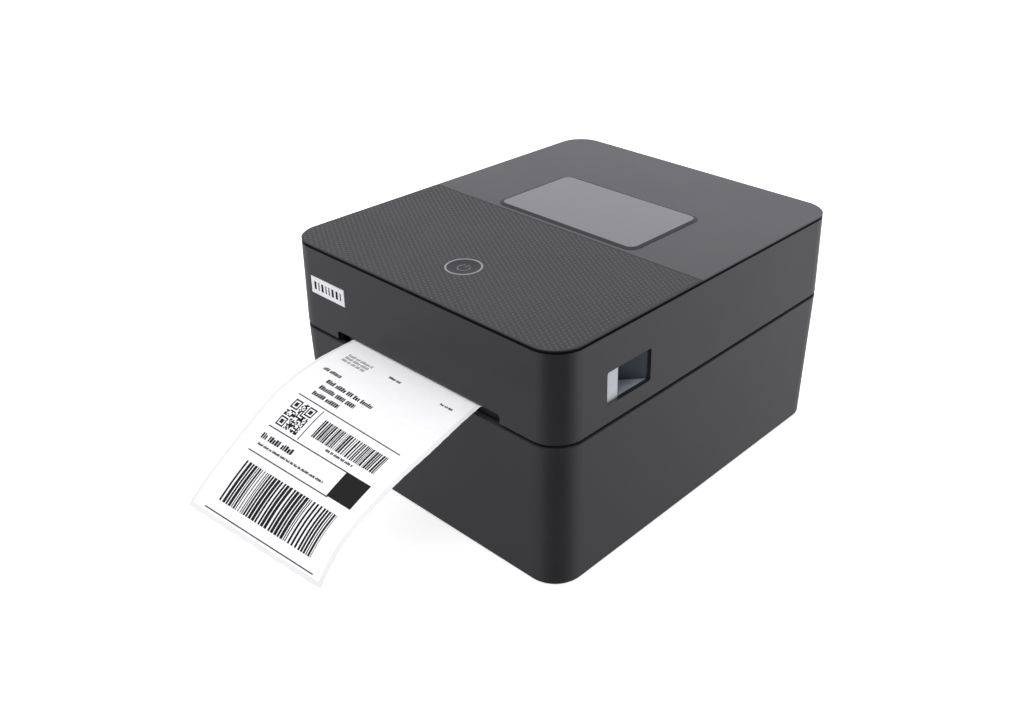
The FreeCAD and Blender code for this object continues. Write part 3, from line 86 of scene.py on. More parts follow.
def add_node(tree, kind, settings=(), links=()):
    """Adds one shader node, sets its values, and joins its inputs to the sockets given."""
    made = tree.nodes.new("ShaderNode" + kind)
    for key, value in dict(settings).items():
        if isinstance(key, int) or key in made.inputs:
            made.inputs[key].default_value = value
        else:
            setattr(made, key, value)
    for key, source in dict(links).items():
        tree.links.new(source, made.inputs[key])
    return made


def begin_material(name, plain):
    """A new material with the values that are the same all over set on its own shader."""
    made = bpy.data.materials.new(name)
    made.use_nodes = True
    shader = made.node_tree.nodes["Principled BSDF"]
    for socket, value in plain.items():
        shader.inputs[socket].default_value = value
    return made, made.node_tree, shader


cloud_low, cloud_high = 0.3, 0.7


def grained(name, colours, roughness, patch, grain, depth, plain, stretch=(1, 1, 1)):
    """A surface with two close colours in soft patches, a roughness that wanders and a fine grain.

    patch, grain and depth are in millimetres, and stretch draws the grain out along an axis."""
    made, tree, shader = begin_material(name, plain)
    place = add_node(tree, "TexCoord").outputs["Object"]
    place = add_node(tree, "Mapping", {"Scale": stretch}, {"Vector": place}).outputs["Vector"]
    clouds = add_node(tree, "TexNoise", {"Scale": 1000 / patch, "Detail": 3.0}, {"Vector": place})
    specks = add_node(tree, "TexNoise", {"Scale": 1000 / grain, "Detail": 2.0}, {"Vector": place})
    tint = add_node(
        tree,
        "Mix",
        {"data_type": "RGBA", 6: linear(colours[0]), 7: linear(colours[1])},
        {0: clouds.outputs["Fac"]},
    )
    rough = add_node(
        tree,
        "MapRange",
        {"From Min": cloud_low, "From Max": cloud_high, "To Min": roughness[0], "To Max": roughness[1]},
        {"Value": clouds.outputs["Fac"]},
    )
    bump = add_node(tree, "Bump", {"Distance": depth * MM}, {"Height": specks.outputs["Fac"]})
    tree.links.new(tint.outputs[2], shader.inputs["Base Color"])
    tree.links.new(rough.outputs["Result"], shader.inputs["Roughness"])
    tree.links.new(bump.outputs["Normal"], shader.inputs["Normal"])
    return made


def give(material, *names):
    """Puts a finish on CAD nodes."""
    for name in names:
        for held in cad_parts[name].material_slots:
            held.material = material


# ABS, injection moulded: near-black, satin, with a grain that breaks up the reflections. The real
# grain is about 0.1 mm, and it is drawn at 0.7 mm so that it shows at all.
case_abs = grained(
    "moulded_black_abs",
    ("#1a1a1b", "#1e1e20"),
    (0.3, 0.36),
    40.0,
    0.7,
    0.012,
    {"IOR": 1.54, "Specular IOR Level": 0.72},
)


def dull_seam(source, name, height, reach):
    """A copy of a finish that is rough near one height: the base's top edge, in the seam."""
    made = source.copy()
    made.name = name
    tree = made.node_tree
    roughness = tree.nodes["Principled BSDF"].inputs["Roughness"]
    place = add_node(tree, "TexCoord").outputs["Object"]
    up = add_node(tree, "SeparateXYZ", {}, {"Vector": place}).outputs["Z"]
    near = add_node(tree, "Math", {"operation": "COMPARE", 1: height, 2: reach}, {0: up}).outputs[0]
    skin = roughness.links[0].from_socket
    rougher = add_node(tree, "Math", {"operation": "MAXIMUM"}, {0: skin, 1: near}).outputs[0]
    tree.links.new(rougher, roughness)
    return made


seam_height, seam_reach = 87.5 * MM, 0.45 * MM
seam_abs = dull_seam(case_abs, "moulded_black_abs_dull_in_the_seam", seam_height, seam_reach)
give(seam_abs, "base_shell")


# ---- Bottom plate, feet and case screws ----
# The bottom plate is a flat ABS moulding with cooling slots, held up under the case by six
# self-tapping screws. Four moulded rubber feet are stuck to it.

bottom_abs = grained(
    "moulded_underside_abs", ("#1a1a1c", "#202022"), (0.5, 0.62), 30.0, 0.9, 0.03, {"IOR": 1.54}
)
# Nitrile rubber, moulded: soft dull black with a powdery surface.
foot_rubber = grained("moulded_rubber", ("#141414", "#1d1c1b"), (0.78, 0.9), 6.0, 0.5, 0.05, {"IOR": 1.52})
# Zinc-plated screw steel: bright bluish grey, slightly cloudy.
screw_steel = grained(
    "zinc_plated_steel", ("#a9adb2", "#8f949b"), (0.28, 0.4), 3.0, 0.4, 0.01, {"Metallic": 1.0}
)
give(bottom_abs, "bottom_plate")
give(foot_rubber, "rubber_feet")
give(screw_steel, "case_screws", "cover_screws", "hinge_pins", "head_pin")


# ---- Media frame, front deck and rails ----
# The roll's tub, the decks, the gear hood and the roll guides are mouldings of the same black ABS
# with a duller tool finish. They snap and screw into the base and stay hidden until the cover opens.

inner_abs = grained(
    "moulded_inner_abs", ("#232325", "#2b2b2e"), (0.48, 0.6), 25.0, 0.8, 0.03, {"IOR": 1.54}
)
give(inner_abs, "media_frame", "front_deck", "gear_hood", "sensor_rail", "latch_catches", "cover_frame")
give(inner_abs, "roll_guide_left", "roll_guide_right", "gap_sensor", "power_rocker", "switch_housing")


# ---- Steel side plates, brackets and tear bar ----
# Side plates, head brackets and the saw-edged tear bar are pressed from cold-rolled steel sheet.
# Rolling leaves faint streaks along the sheet's length.

sheet_steel = grained(
    "rolled_steel_sheet",
    ("#9c9fa2", "#86898d"),
    (0.3, 0.45),
    9.0,
    0.6,
    0.008,
    {"Metallic": 1.0},
    stretch=(1.0, 0.12, 1.0),
)
give(sheet_steel, "side_plate_left", "side_plate_right", "head_bracket", "tear_bar")


# ---- Platen, shafts and bushes ----
# The platen is silicone rubber moulded round a turned steel shaft and ground to size.
# It runs in white acetal bushes pressed into the side plates.

# Turned steel: bright, with fine rings round the axis.
turned_steel = grained(
    "turned_steel",
    ("#b9bcc0", "#a3a6aa"),
    (0.18, 0.3),
    2.0,
    0.5,
    0.01,
    {"Metallic": 1.0},
    stretch=(1.0, 0.05, 0.05),
)
# Silicone rubber, ground: dark grey, dull and very even.
platen_silicone = grained(
    "ground_silicone_rubber", ("#2c2c2e", "#343436"), (0.66, 0.78), 4.0, 0.35, 0.02, {"IOR": 1.43}
)
# Acetal, moulded: milky white and slightly waxy.
acetal = grained(
    "moulded_acetal",
    ("#e6e4dc", "#dad7cd"),
    (0.32, 0.42),
    8.0,
    0.6,
    0.01,
    {"IOR": 1.48, "Subsurface Weight": 0.1, "Subsurface Radius": (0.002, 0.002, 0.002)},
)
give(turned_steel, "platen_shaft", "motor_shaft", "idler_stud", "pinion_stud")
give(platen_silicone, "platen_rubber")
give(acetal, "platen_bushes", "platen_gear", "idler_gear", "motor_pinion", "guide_pinion")


# ---- Feed motor ----
# A two-phase stepper motor: a stack of steel laminations between end caps, bolted to the side plate.

motor_steel, motor_tree, motor_shader = begin_material(
    "laminated_motor_steel", {"Metallic": 1.0, "Roughness": 0.42}
)
motor_place = add_node(motor_tree, "TexCoord").outputs["Object"]
# The laminations are 0.5 mm thick, and they are drawn 1 mm thick so that they show. A wave texture
# of scale 1 repeats every pi / 10 metres.
lamination_pitch, wave_length, lamination_step = 1.0 * MM, math.pi / 10, 0.05 * MM
lamination = add_node(
    motor_tree,
    "TexWave",
    {"bands_direction": "X", "Scale": wave_length / lamination_pitch, "Distortion": 0.0},
    {"Vector": motor_place},
)
motor_tint = add_node(
    motor_tree,
    "Mix",
    {"data_type": "RGBA", 6: linear("#5d6064"), 7: linear("#7d8085")},
    {0: lamination.outputs["Fac"]},
)
motor_bump = add_node(
    motor_tree, "Bump", {"Distance": lamination_step}, {"Height": lamination.outputs["Fac"]}
)
motor_tree.links.new(motor_tint.outputs[2], motor_shader.inputs["Base Color"])
motor_tree.links.new(motor_bump.outputs["Normal"], motor_shader.inputs["Normal"])
give(motor_steel, "feed_motor")


# ---- Boards and sockets ----
# Glass-epoxy boards under a green solder mask carry black epoxy chips and capacitors.
# The power inlet is moulded nylon with a nickel pin, the data port a tinned steel shell.

# Solder mask over glass cloth: deep green, glossy, with the weave's waviness in it.
board_mask = grained(
    "solder_masked_board", ("#14492c", "#1d5a37"), (0.3, 0.4), 3.0, 0.8, 0.02, {"IOR": 1.5}
)
# Moulded epoxy: black and flat, with a sandy skin.
chip_epoxy = grained(
    "moulded_chip_epoxy", ("#161617", "#1e1e20"), (0.5, 0.62), 5.0, 0.4, 0.02, {"IOR": 1.55}
)
give(board_mask, "main_board", "button_board")
give(chip_epoxy, "board_parts", "power_inlet")
give(screw_steel, "data_port")


# ---- Label roll on its core ----
# Direct-thermal labels on a glassine liner, wound on a brown spiral-wrapped cardboard core.
# The roll's ends show the edges of the turns as fine rings that are never quite flush.

# Thermal paper, coated and calendered: bright white with a faint fibre cloud.
thermal_paper = grained(
    "thermal_paper", ("#f4f4f3", "#ececec"), (0.5, 0.62), 5.0, 0.5, 0.008, {"IOR": 1.5}
)
# Unbleached core board: brown, fibrous, dull.
core_board = grained(
    "unbleached_core_board",
    ("#8c6b48", "#a07d57"),
    (0.8, 0.92),
    4.0,
    0.5,
    0.05,
    {"IOR": 1.5},
    stretch=(0.3, 1.0, 1.0),
)


def new_piece(name, points, faces, material, body, smooth=False):
    """A mesh piece made in place, in metres, that rides on a body."""
    mesh = bpy.data.meshes.new(name)
    mesh.from_pydata([tuple(p) for p in points], [], faces)
    mesh.materials.append(material)
    mesh.update()
    for polygon in mesh.polygons:
        polygon.use_smooth = smooth
    made = bpy.data.objects.new(name, mesh)
    bpy.context.scene.collection.objects.link(made)
    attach(made, body)
    return made


def lathe_x(profile, centre_y, centre_z, sides):
    """Points and faces of a closed profile of (x, radius) points turned round an X axis."""
    points, faces = [], []
    count = len(profile)
    for i in range(sides):
        angle = 2 * math.pi * i / sides
        for x, radius in profile:
            points.append((x, centre_y + radius * math.cos(angle), centre_z + radius * math.sin(angle)))
    for i in range(sides):
        for j in range(count):
            a, b = i * count, ((i + 1) % sides) * count
            k = (j + 1) % count
            faces.append((a + j, a + k, b + k, b + j))
    return points, faces


roll_low, roll_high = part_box("label_roll")
core_low, core_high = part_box("roll_core")
roll_y, roll_z = (roll_low.y + roll_high.y) / 2, (roll_low.z + roll_high.z) / 2
roll_radius, core_radius = (roll_high.z - roll_low.z) / 2, (core_high.z - core_low.z) / 2
roll_turns, turn_slip, turn_share, turn_edge = 34, 0.18 * MM, 0.82, 0.1 * MM
roll_sides = 96
chance = random.Random(7)


def roll_end(x, inward):
    """The edge of the wound stock at one end, from the core outwards: each turn is a flat ring."""
    edge = []
    for turn in range(roll_turns):
        near = core_radius + (roll_radius - core_radius) * turn / roll_turns
        far = core_radius + (roll_radius - core_radius) * (turn + turn_share) / roll_turns
        slip = inward * turn_slip * chance.random()
        edge += [(x + slip + inward * turn_slip, near), (x + slip, near + turn_edge), (x + slip, far)]
    edge.append((x + inward * turn_slip, roll_radius))
    return edge


roll_profile = roll_end(roll_low.x, 1) + roll_end(roll_high.x, -1)[::-1]
roll_points, roll_faces = lathe_x(roll_profile, roll_y, roll_z, roll_sides)
wound_roll = new_piece("wound_label_roll", roll_points, roll_faces, thermal_paper, "roll")
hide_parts("label_roll")
give(core_board, "roll_core")
give(thermal_paper, "label_web")


# ---- Cover ----
# The cover is the second large ABS moulding, with the label slot in its front edge and an opening
# for a latch in each side. It turns on two steel pins at the rear.

give(case_abs, "cover_shell")


# ---- Top panels ----
# Two ABS panels lie on the cover's deck with a shadow groove round them. The rear one is smooth.
# The front one has rows of short raised dashes moulded into it, in a triangular pattern.

lid_abs = grained(
    "moulded_lid_abs",
    ("#1d1d1f", "#222225"),
    (0.26, 0.32),
    45.0,
    0.8,
    0.01,
    {"IOR": 1.54, "Specular IOR Level": 0.72},
)
# The field between the dashes is etched matt, so it throws back much less light than they do.
panel_abs = grained(
    "etched_panel_abs",
    ("#19191b", "#1e1e20"),
    (0.46, 0.54),
    45.0,
    0.6,
    0.02,
    {"IOR": 1.54, "Specular IOR Level": 0.49},
)
give(lid_abs, "top_panel_rear")
give(panel_abs, "top_panel_front")

panel_low, panel_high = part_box("top_panel_front")
ring_low, ring_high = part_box("light_ring")
ring_centre = (ring_low + ring_high) / 2
ring_radius = (ring_high.x - ring_low.x) / 2
dash_pitch, dash_turn = 3.06 * MM, math.radians(-30)
dash_length, dash_width, dash_height, dash_top = 2.6 * MM, 1.4 * MM, 0.12 * MM, 0.72
dash_shoulder, dash_sink = 0.3, 0.02 * MM
dash_margin, panel_corner = 1.5 * MM, 17.6 * MM
# The tops of the dashes are moulded glossier than the field, so they catch the light as fine points.
dash_abs = grained(
    "moulded_dash_abs",
    ("#1c1c1e", "#212123"),
    (0.3, 0.36),
    30.0,
    0.8,
    0.01,
    {"IOR": 1.54, "Specular IOR Level": 0.6},
)


def on_textured_field(x, y):
    """True where a dash fits: inside the panel's outline and clear of the ring."""
    if not panel_low.y + dash_margin < y < panel_high.y - dash_margin:
        return False
    if abs(x) > panel_high.x - dash_margin:
        return False
    corner_x = abs(x) - (panel_high.x - panel_corner)
    corner_y = (panel_low.y + panel_corner) - y
    if corner_x > 0 and corner_y > 0 and math.hypot(corner_x, corner_y) > panel_corner - dash_margin:
        return False
    return math.hypot(x - ring_centre.x, y - ring_centre.y) > ring_radius + dash_margin


def dash(x, y, base_z):
    """One raised dash: a stretched hexagon with sloping sides and a narrower top."""
    along = Vector((math.cos(dash_turn), math.sin(dash_turn), 0))
    across = Vector((-along.y, along.x, 0))
    near_rim = [(-0.5, 0), (-dash_shoulder, -0.5), (dash_shoulder, -0.5)]
    rim = near_rim + [(-a, -b) for a, b in near_rim]
    points = []
    for share, z in ((1.0, base_z - dash_sink), (dash_top, base_z + dash_height)):
        for a, b in rim:
            points.append(Vector((x, y, z)) + share * (a * dash_length * along + b * dash_width * across))
    sides = [(i, (i + 1) % 6, 6 + (i + 1) % 6, 6 + i) for i in range(6)]
    return points, sides + [(5, 4, 3, 2, 1, 0), (6, 7, 8, 9, 10, 11)]


dash_points, dash_faces = [], []
far_column = math.ceil(panel_high.x / (dash_pitch * math.cos(dash_turn)))
far_row = math.ceil((panel_high.y - panel_low.y) / dash_pitch) + far_column
for column in range(-far_column, far_column + 1):
    for row in range(-far_row, far_row + 1):
        dash_x = column * dash_pitch * math.cos(dash_turn)
        dash_y = column * dash_pitch * math.sin(dash_turn) + row * dash_pitch + ring_centre.y
        if not on_textured_field(dash_x, dash_y):
            continue
        points, faces = dash(dash_x, dash_y, panel_high.z)
        start = len(dash_points)
        dash_points += points
        dash_faces += [tuple(start + i for i in face) for face in faces]
new_piece("top_panel_dashes", dash_points, dash_faces, dash_abs, "cover")


# ---- Window ----
# A smoked polycarbonate pane, moulded with a bevelled edge and pressed into the rear panel.
# It has a hard glossy coat. The black band on its bevel is painted shade: it stands in for the bevel's
# darker reflection.

# Polycarbonate, moulded and hard-coated: a smoky grey that mirrors the room softly.
window_polycarbonate = grained(
    "smoked_polycarbonate",
    ("#2b2b2e", "#303034"),
    (0.12, 0.16),
    40.0,
    0.9,
    0.004,
    {"IOR": 1.585, "Specular IOR Level": 1.0, "Coat Weight": 1.0, "Coat Roughness": 0.12},
)
# Painted shade: a flat black laid over the bevel to darken it.
bevel_painted_shade = grained(
    "painted_shade_on_bevel",
    ("#161618", "#1c1c1f"),
    (0.36, 0.46),
    6.0,
    0.4,
    0.006,
    {"IOR": 1.5, "Specular IOR Level": 0.42},
)
give(window_polycarbonate, "window_pane")
pane_low, pane_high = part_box("window_pane")
pane_bevel, pane_rise, pane_radius, border_thick = 2.3 * MM, 0.9 * MM, 5.0 * MM, 0.03 * MM
border_inset, corner_steps = 0.2 * MM, 12


def pane_loop(grow, z):
    """A loop round the pane's top face, moved out by grow, with true arcs at the corners."""
    reach_x = pane_high.x - pane_bevel - pane_radius
    low_y = pane_low.y + pane_bevel + pane_radius
    high_y = pane_high.y - pane_bevel - pane_radius
    radius = pane_radius + grow
    centres = ((reach_x, high_y), (-reach_x, high_y), (-reach_x, low_y), (reach_x, low_y))
    loop = []
    for corner, (x, y) in enumerate(centres):
        for step in range(corner_steps + 1):
            angle = math.pi / 2 * (corner + step / corner_steps)
            loop.append((x + radius * math.cos(angle), y + radius * math.sin(angle), z))
    return loop


def stacked_loops(loops):
    """Points and faces of a closed ring with the loops as its long edges."""
    count = len(loops[0])
    faces = []
    for j in range(len(loops)):
        a, b = j * count, (j + 1) % len(loops) * count
        faces += [(a + i, b + i, b + (i + 1) % count, a + (i + 1) % count) for i in range(count)]
    return [point for loop in loops for point in loop], faces


# The black band over the bevel is painted shade.
border_top = pane_high.z - pane_rise * border_inset / pane_bevel
border_foot = pane_high.z - pane_rise
border_points, border_faces = stacked_loops(
    (
        pane_loop(pane_bevel + border_thick, border_foot - border_thick),
        pane_loop(pane_bevel + border_thick, border_foot + border_thick),
        pane_loop(border_inset, border_top + border_thick),
        pane_loop(border_inset, border_top - border_thick),
    )
)
new_piece("window_bevel_painted_shade", border_points, border_faces, bevel_painted_shade, "cover")


# ---- Feed button and light ring ----
# A round push button with a dished top and a printed power mark, on a stem through the deck.
# The milky ring round it carries the light of an indicator below.

# ABS, moulded: the button is a shade duller than the panel round it.
button_abs = grained(
    "moulded_button_abs",
    ("#1a1a1c", "#202022"),
    (0.4, 0.48),
    12.0,
    0.6,
    0.01,
    {"IOR": 1.54, "Specular IOR Level": 0.32},
)
# Milky polycarbonate: mid grey while the indicator is off, with a satin face.
ring_polycarbonate = grained(
    "milky_polycarbonate", ("#79797c", "#838386"), (0.25, 0.32), 8.0, 0.6, 0.005, {"IOR": 1.585}
)
# Pad printing ink: a flat grey that barely stands out.
mark_ink = grained("pad_printed_grey", ("#57575a", "#5f5f62"), (0.5, 0.6), 4.0, 0.4, 0.005, {"IOR": 1.5})
give(button_abs, "feed_button")
give(ring_polycarbonate, "light_ring")

button_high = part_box("feed_button")[1]
dish_radius, dish_depth = 60.0 * MM, 0.7 * MM
mark_radius, mark_stroke, mark_thick = 3.9 * MM, 0.8 * MM, 0.06 * MM
mark_gap, mark_steps, mark_bar_shares = math.radians(62), 40, (0.15, 0.5, 0.85, 1.15)
ink_sink = 0.01 * MM


def dish_z(x, y):
    """Height of the button's dished top."""
    reach_squared = x * x + (y - ring_centre.y) ** 2
    return button_high.z - dish_depth + dish_radius - math.sqrt(dish_radius**2 - reach_squared)


def raised_strip(lefts, rights, lift):
    """A thin closed strip between two rows of points, raised by a vector function."""
    points, faces = [], []
    for low, high in zip(lefts, rights):
        points += [low, high, high + lift(high), low + lift(low)]
    count = len(lefts)
    for i in range(count - 1):
        a, b = 4 * i, 4 * (i + 1)
        faces += [(a + j, a + (j + 1) % 4, b + (j + 1) % 4, b + j) for j in range(4)]
    faces += [(3, 2, 1, 0), tuple(4 * (count - 1) + j for j in range(4))]
    return points, faces


def add_to(points, faces, more):
    """Appends one part's points and faces to a growing mesh."""
    start = len(points)
    points += more[0]
    faces += [tuple(start + i for i in face) for face in more[1]]


def on_dish(x, y):
    """A point just under the button's dished top."""
    return Vector((x, y, dish_z(x, y) - ink_sink))


def mark_lift(point):
    """How far the mark stands up at a point."""
    return Vector((0, 0, mark_thick))


mark_points, mark_faces = [], []
arc_in, arc_out = [], []
for i in range(mark_steps + 1):
    angle = math.pi / 2 + mark_gap / 2 + (2 * math.pi - mark_gap) * i / mark_steps
    for row, radius in ((arc_in, mark_radius - mark_stroke), (arc_out, mark_radius)):
        row.append(on_dish(radius * math.cos(angle), ring_centre.y + radius * math.sin(angle)))
add_to(mark_points, mark_faces, raised_strip(arc_in, arc_out, mark_lift))
bar_ys = [ring_centre.y + mark_radius * share for share in mark_bar_shares]
bar_left = [on_dish(-mark_stroke / 2, y) for y in bar_ys]
bar_right = [on_dish(mark_stroke / 2, y) for y in bar_ys]
add_to(mark_points, mark_faces, raised_strip(bar_left, bar_right, mark_lift))
new_piece("button_power_mark", mark_points, mark_faces, mark_ink, "button")


# ---- Badge ----
# A white polycarbonate plate stuck to the cover's front, printed with plain bars.

# White polycarbonate, moulded: an even white with a satin face.
badge_polycarbonate = grained(
    "white_badge_polycarbonate", ("#dcdcde", "#d2d2d4"), (0.3, 0.4), 10.0, 0.6, 0.004, {"IOR": 1.585}
)
give(badge_polycarbonate, "badge_plate")
badge_low, badge_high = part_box("badge_plate")
cover_draft = math.radians(0.9)
# Pad printing ink: flat black.
badge_ink = grained(
    "pad_printed_black",
    ("#0e0e0f", "#161617"),
    (0.5, 0.6),
    4.0,
    0.4,
    0.005,
    {"IOR": 1.5, "Specular IOR Level": 0.2},
)
wide_bar, slim_bar = 1.8 * MM, 0.9 * MM
badge_bars = (wide_bar, slim_bar, wide_bar, slim_bar, slim_bar, wide_bar, wide_bar, slim_bar)
badge_gap, badge_margin, badge_ink_thick = 1.9 * MM, 2.7 * MM, 0.06 * MM


def on_badge(x, z):
    """A point on the badge's face, which leans back with the cover's draft."""
    return Vector((x, badge_low.y + math.tan(cover_draft) * (z - badge_low.z) + ink_sink, z))


def badge_lift(point):
    """How far the bars stand out of the badge at a point."""
    return Vector((0, -badge_ink_thick, 0))


bar_points, bar_faces = [], []
bar_x = badge_low.x + badge_margin
low, high = badge_low.z + badge_margin, badge_high.z - badge_margin
for width in badge_bars:
    lefts = [on_badge(bar_x, low), on_badge(bar_x, high)]
    rights = [on_badge(bar_x + width, low), on_badge(bar_x + width, high)]
    add_to(bar_points, bar_faces, raised_strip(lefts, rights, badge_lift))
    bar_x += width + badge_gap
new_piece("badge_bars", bar_points, bar_faces, badge_ink, "cover")


# ---- Release latches ----
# Each latch is a grey nylon slider with a finger scoop. Silver paint marks the bar to pull on.
# The pale grey strip on the scoop's floor is painted light: the floor faces up into the light.

# Nylon, moulded: bluish grey and slightly waxy.
latch_nylon = grained(
    "moulded_grey_nylon", ("#343c43", "#3b444b"), (0.36, 0.46), 10.0, 0.6, 0.01, {"IOR": 1.53}
)
# Silver paint: pale, half metallic, with fine flake.
strip_paint = grained(
    "silver_paint", ("#c9cdd0", "#bcc0c4"), (0.32, 0.42), 6.0, 0.4, 0.006, {"Metallic": 0.35, "IOR": 1.5}
)
# Painted light: a pale grey on the scoop's floor that stands in for the light falling on it from above.
painted_scoop_light = grained(
    "scoop_floor_paint", ("#a4abb0", "#989fa5"), (0.4, 0.5), 6.0, 0.4, 0.006, {"IOR": 1.5}
)
give(latch_nylon, "latch_right", "latch_left")
paint_thick, paint_sink, paint_gap = 0.2 * MM, 0.01 * MM, 0.1 * MM
bar_start, bar_end, bar_low, bar_high = 1.0 * MM, 16.9 * MM, 26.2 * MM, 48.3 * MM
scoop_floor, scoop_deep, scoop_flat, scoop_end = 28.2 * MM, 12.0 * MM, 10.0 * MM, 41.4 * MM


def prism(low_loop, lift):
    """Points and faces of a flat loop swept along a vector."""
    count = len(low_loop)
    sides = [(i, (i + 1) % count, count + (i + 1) % count, count + i) for i in range(count)]
    caps = [tuple(range(count))[::-1], tuple(range(count, 2 * count))]
    return low_loop + [point + lift for point in low_loop], sides + caps


for side, node, body in ((1, "latch_right", "latch_r"), (-1, "latch_left", "latch_l")):
    latch_low, latch_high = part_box(node)
    face_x = latch_high.x if side > 0 else latch_low.x
    z0, z1 = latch_low.z + bar_low, latch_low.z + bar_high
    y0, y1 = latch_low.y + bar_start, latch_low.y + bar_end
    bar_shape = ((y0, z0), (y1, z0), (y1, z1), (y0, z1))
    bar = [Vector((face_x - side * paint_sink, y, z)) for y, z in bar_shape][::side]
    points, faces = prism(bar, Vector((side * paint_thick, 0, 0)))
    new_piece(node + "_bar_paint", points, faces, strip_paint, body)
    # The strip on the scoop's floor is painted light, not a real coat of paint.
    floor_z, y0 = latch_low.z + scoop_floor - paint_sink, y1 + 2 * paint_sink + paint_gap
    floor_shape = ((0, y0), (0, latch_low.y + scoop_end), (-scoop_deep, y0 + scoop_flat), (-scoop_deep, y0))
    loop = [Vector((face_x + side * x, y, floor_z)) for x, y in floor_shape][::side]
    points, faces = prism(loop, Vector((0, 0, paint_thick / 2)))
    new_piece(node + "_floor_paint", points, faces, painted_scoop_light, body)


# ---- Print head ----
# A glazed ceramic strip is glued to a finned aluminium extrusion that swings on a steel pin.
# Three springs of music wire press it on the platen, and a fourth returns the feed button.

# Alumina under glass: creamy white and shiny.
head_ceramic = grained(
    "glazed_alumina", ("#cfc9b8", "#d9d4c6"), (0.12, 0.2), 12.0, 0.8, 0.004, {"IOR": 1.76}
)
# Aluminium, extruded: soft silver with die lines along its length.
extruded_aluminium = grained(
    "extruded_aluminium",
    ("#b5b8bb", "#a3a7ab"),
    (0.28, 0.4),
    6.0,
    0.5,
    0.01,
    {"Metallic": 1.0},
    stretch=(0.06, 1.0, 1.0),
)
# Music wire, drawn: dark bright steel.
spring_wire = grained("music_wire", ("#8f9296", "#a4a7ab"), (0.2, 0.3), 2.0, 0.3, 0.004, {"Metallic": 1.0})
give(head_ceramic, "thermal_head")
give(extruded_aluminium, "heat_sink")
turn_steps, wire_sides = 20, 8
# The share of the wire in each closed end, and the share of the height that is climbed evenly.
closed_wire, closed_rise = 0.12, 0.06


def coil_spring(x, y, z0, z1, radius, wire, turns):
    """A round-wire compression spring, with its end turns closed up."""
    points, faces = [], []
    steps, sides = int(turns * turn_steps), wire_sides
    length = z1 - z0 - wire
    for i in range(steps + 1):
        share = i / steps
        angle = 2 * math.pi * turns * share
        rise = min(max((share - closed_wire) / (1 - 2 * closed_wire), 0.0), 1.0)
        z = z0 + wire / 2 + length * (closed_rise * share + (1 - closed_rise) * rise)
        for j in range(sides):
            turn = 2 * math.pi * j / sides
            reach = radius - wire / 2 + wire / 2 * math.cos(turn)
            up = z + wire / 2 * math.sin(turn)
            points.append((x + reach * math.cos(angle), y + reach * math.sin(angle), up))
    for i in range(steps):
        a, b = i * sides, (i + 1) * sides
        faces += [(a + j, a + (j + 1) % sides, b + (j + 1) % sides, b + j) for j in range(sides)]
    faces += [tuple(range(sides))[::-1], tuple(steps * sides + j for j in range(sides))]
    return points, faces


head_low, head_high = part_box("head_springs")
spring_radius, head_wire, head_turns = 3.5 * MM, 0.8 * MM, 6.5
spring_points, spring_faces = [], []
spring_y = (head_low.y + head_high.y) / 2
for spring_x in (head_low.x + spring_radius, 0.0, head_high.x - spring_radius):
    coil = coil_spring(spring_x, spring_y, head_low.z, head_high.z, spring_radius, head_wire, head_turns)
    add_to(spring_points, spring_faces, coil)
head_coils = new_piece(
    "head_coil_springs", spring_points, spring_faces, spring_wire, "cover", True
)
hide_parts("head_springs")
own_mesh(head_coils)

return_low, return_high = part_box("button_spring")
return_radius = (return_high.x - return_low.x) / 2
return_centre = (return_low + return_high) / 2
return_wire, return_turns = 0.6 * MM, 3.5
points, faces = coil_spring(
    return_centre.x, return_centre.y, return_low.z, return_high.z, return_radius, return_wire, return_turns
)
return_coil = new_piece("button_coil_spring", points, faces, spring_wire, "cover", True)
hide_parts("button_spring")
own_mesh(return_coil)


# ---- Printed label ----
# A 4 inch shipping label on its liner, pushed out of the slot and hanging under its own weight.
# The liner is glassine, the label on it thermal paper, and the print is burnt in, black and flat.

# The left and right edges of the liner, as (y, z) places from the slot to the torn end. The left
# edge hangs a little lower and longer, because the label was torn at a slant and curls.
slot = (-127.0, 93.3)
left_bend, left_fall = ((-151.0, 91.4), (-167.5, 87.6), (-182.0, 81.7)), ((-209.0, 63.9), (-228.0, 49.7))
right_bend, right_fall = ((-140.0, 89.6), (-160.0, 82.9), (-184.6, 75.1)), ((-211.5, 62.3), (-225.0, 50.0))
left_end, right_end = (-237.3, 40.9), (-230.4, 42.0)
left_edge = (slot, *left_bend, *left_fall, left_end)
right_edge = (slot, *right_bend, *right_fall, right_end)
liner_width, label_length = 103.0, 122.0
liner_thick, ink_thick = 0.3 * MM, 0.05 * MM
label_margin, label_end_margin, label_lift = 2.3, 3.0, 0.08 * MM
curve_steps, edge_rows = 40, 244


def smooth_line(places, count):
    """Evenly spaced points along a smooth curve through the places, in metres."""
    dense = []
    for i in range(len(places) - 1):
        before = Vector(places[max(i - 1, 0)])
        start, end = Vector(places[i]), Vector(places[i + 1])
        after = Vector(places[min(i + 2, len(places) - 1)])
        for step in range(curve_steps):
            t = step / curve_steps
            a, b = (end - before) / 2, (after - start) / 2
            bend = (2 * t**3 - 3 * t * t + 1) * start + (t**3 - 2 * t * t + t) * a
            dense.append(bend + (-2 * t**3 + 3 * t * t) * end + (t**3 - t * t) * b)
    dense.append(Vector(places[-1]))
    lengths = [0.0]
    for a, b in zip(dense, dense[1:]):
        lengths.append(lengths[-1] + (b - a).length)
    even, k = [], 0
    for i in range(count + 1):
        goal = lengths[-1] * i / count
        while k < len(dense) - 2 and lengths[k + 1] < goal:
            k += 1
        t = (goal - lengths[k]) / (lengths[k + 1] - lengths[k])
        even.append(dense[k].lerp(dense[k + 1], min(max(t, 0.0), 1.0)) * MM)
    return even


left_line, right_line = smooth_line(left_edge, edge_rows), smooth_line(right_edge, edge_rows)


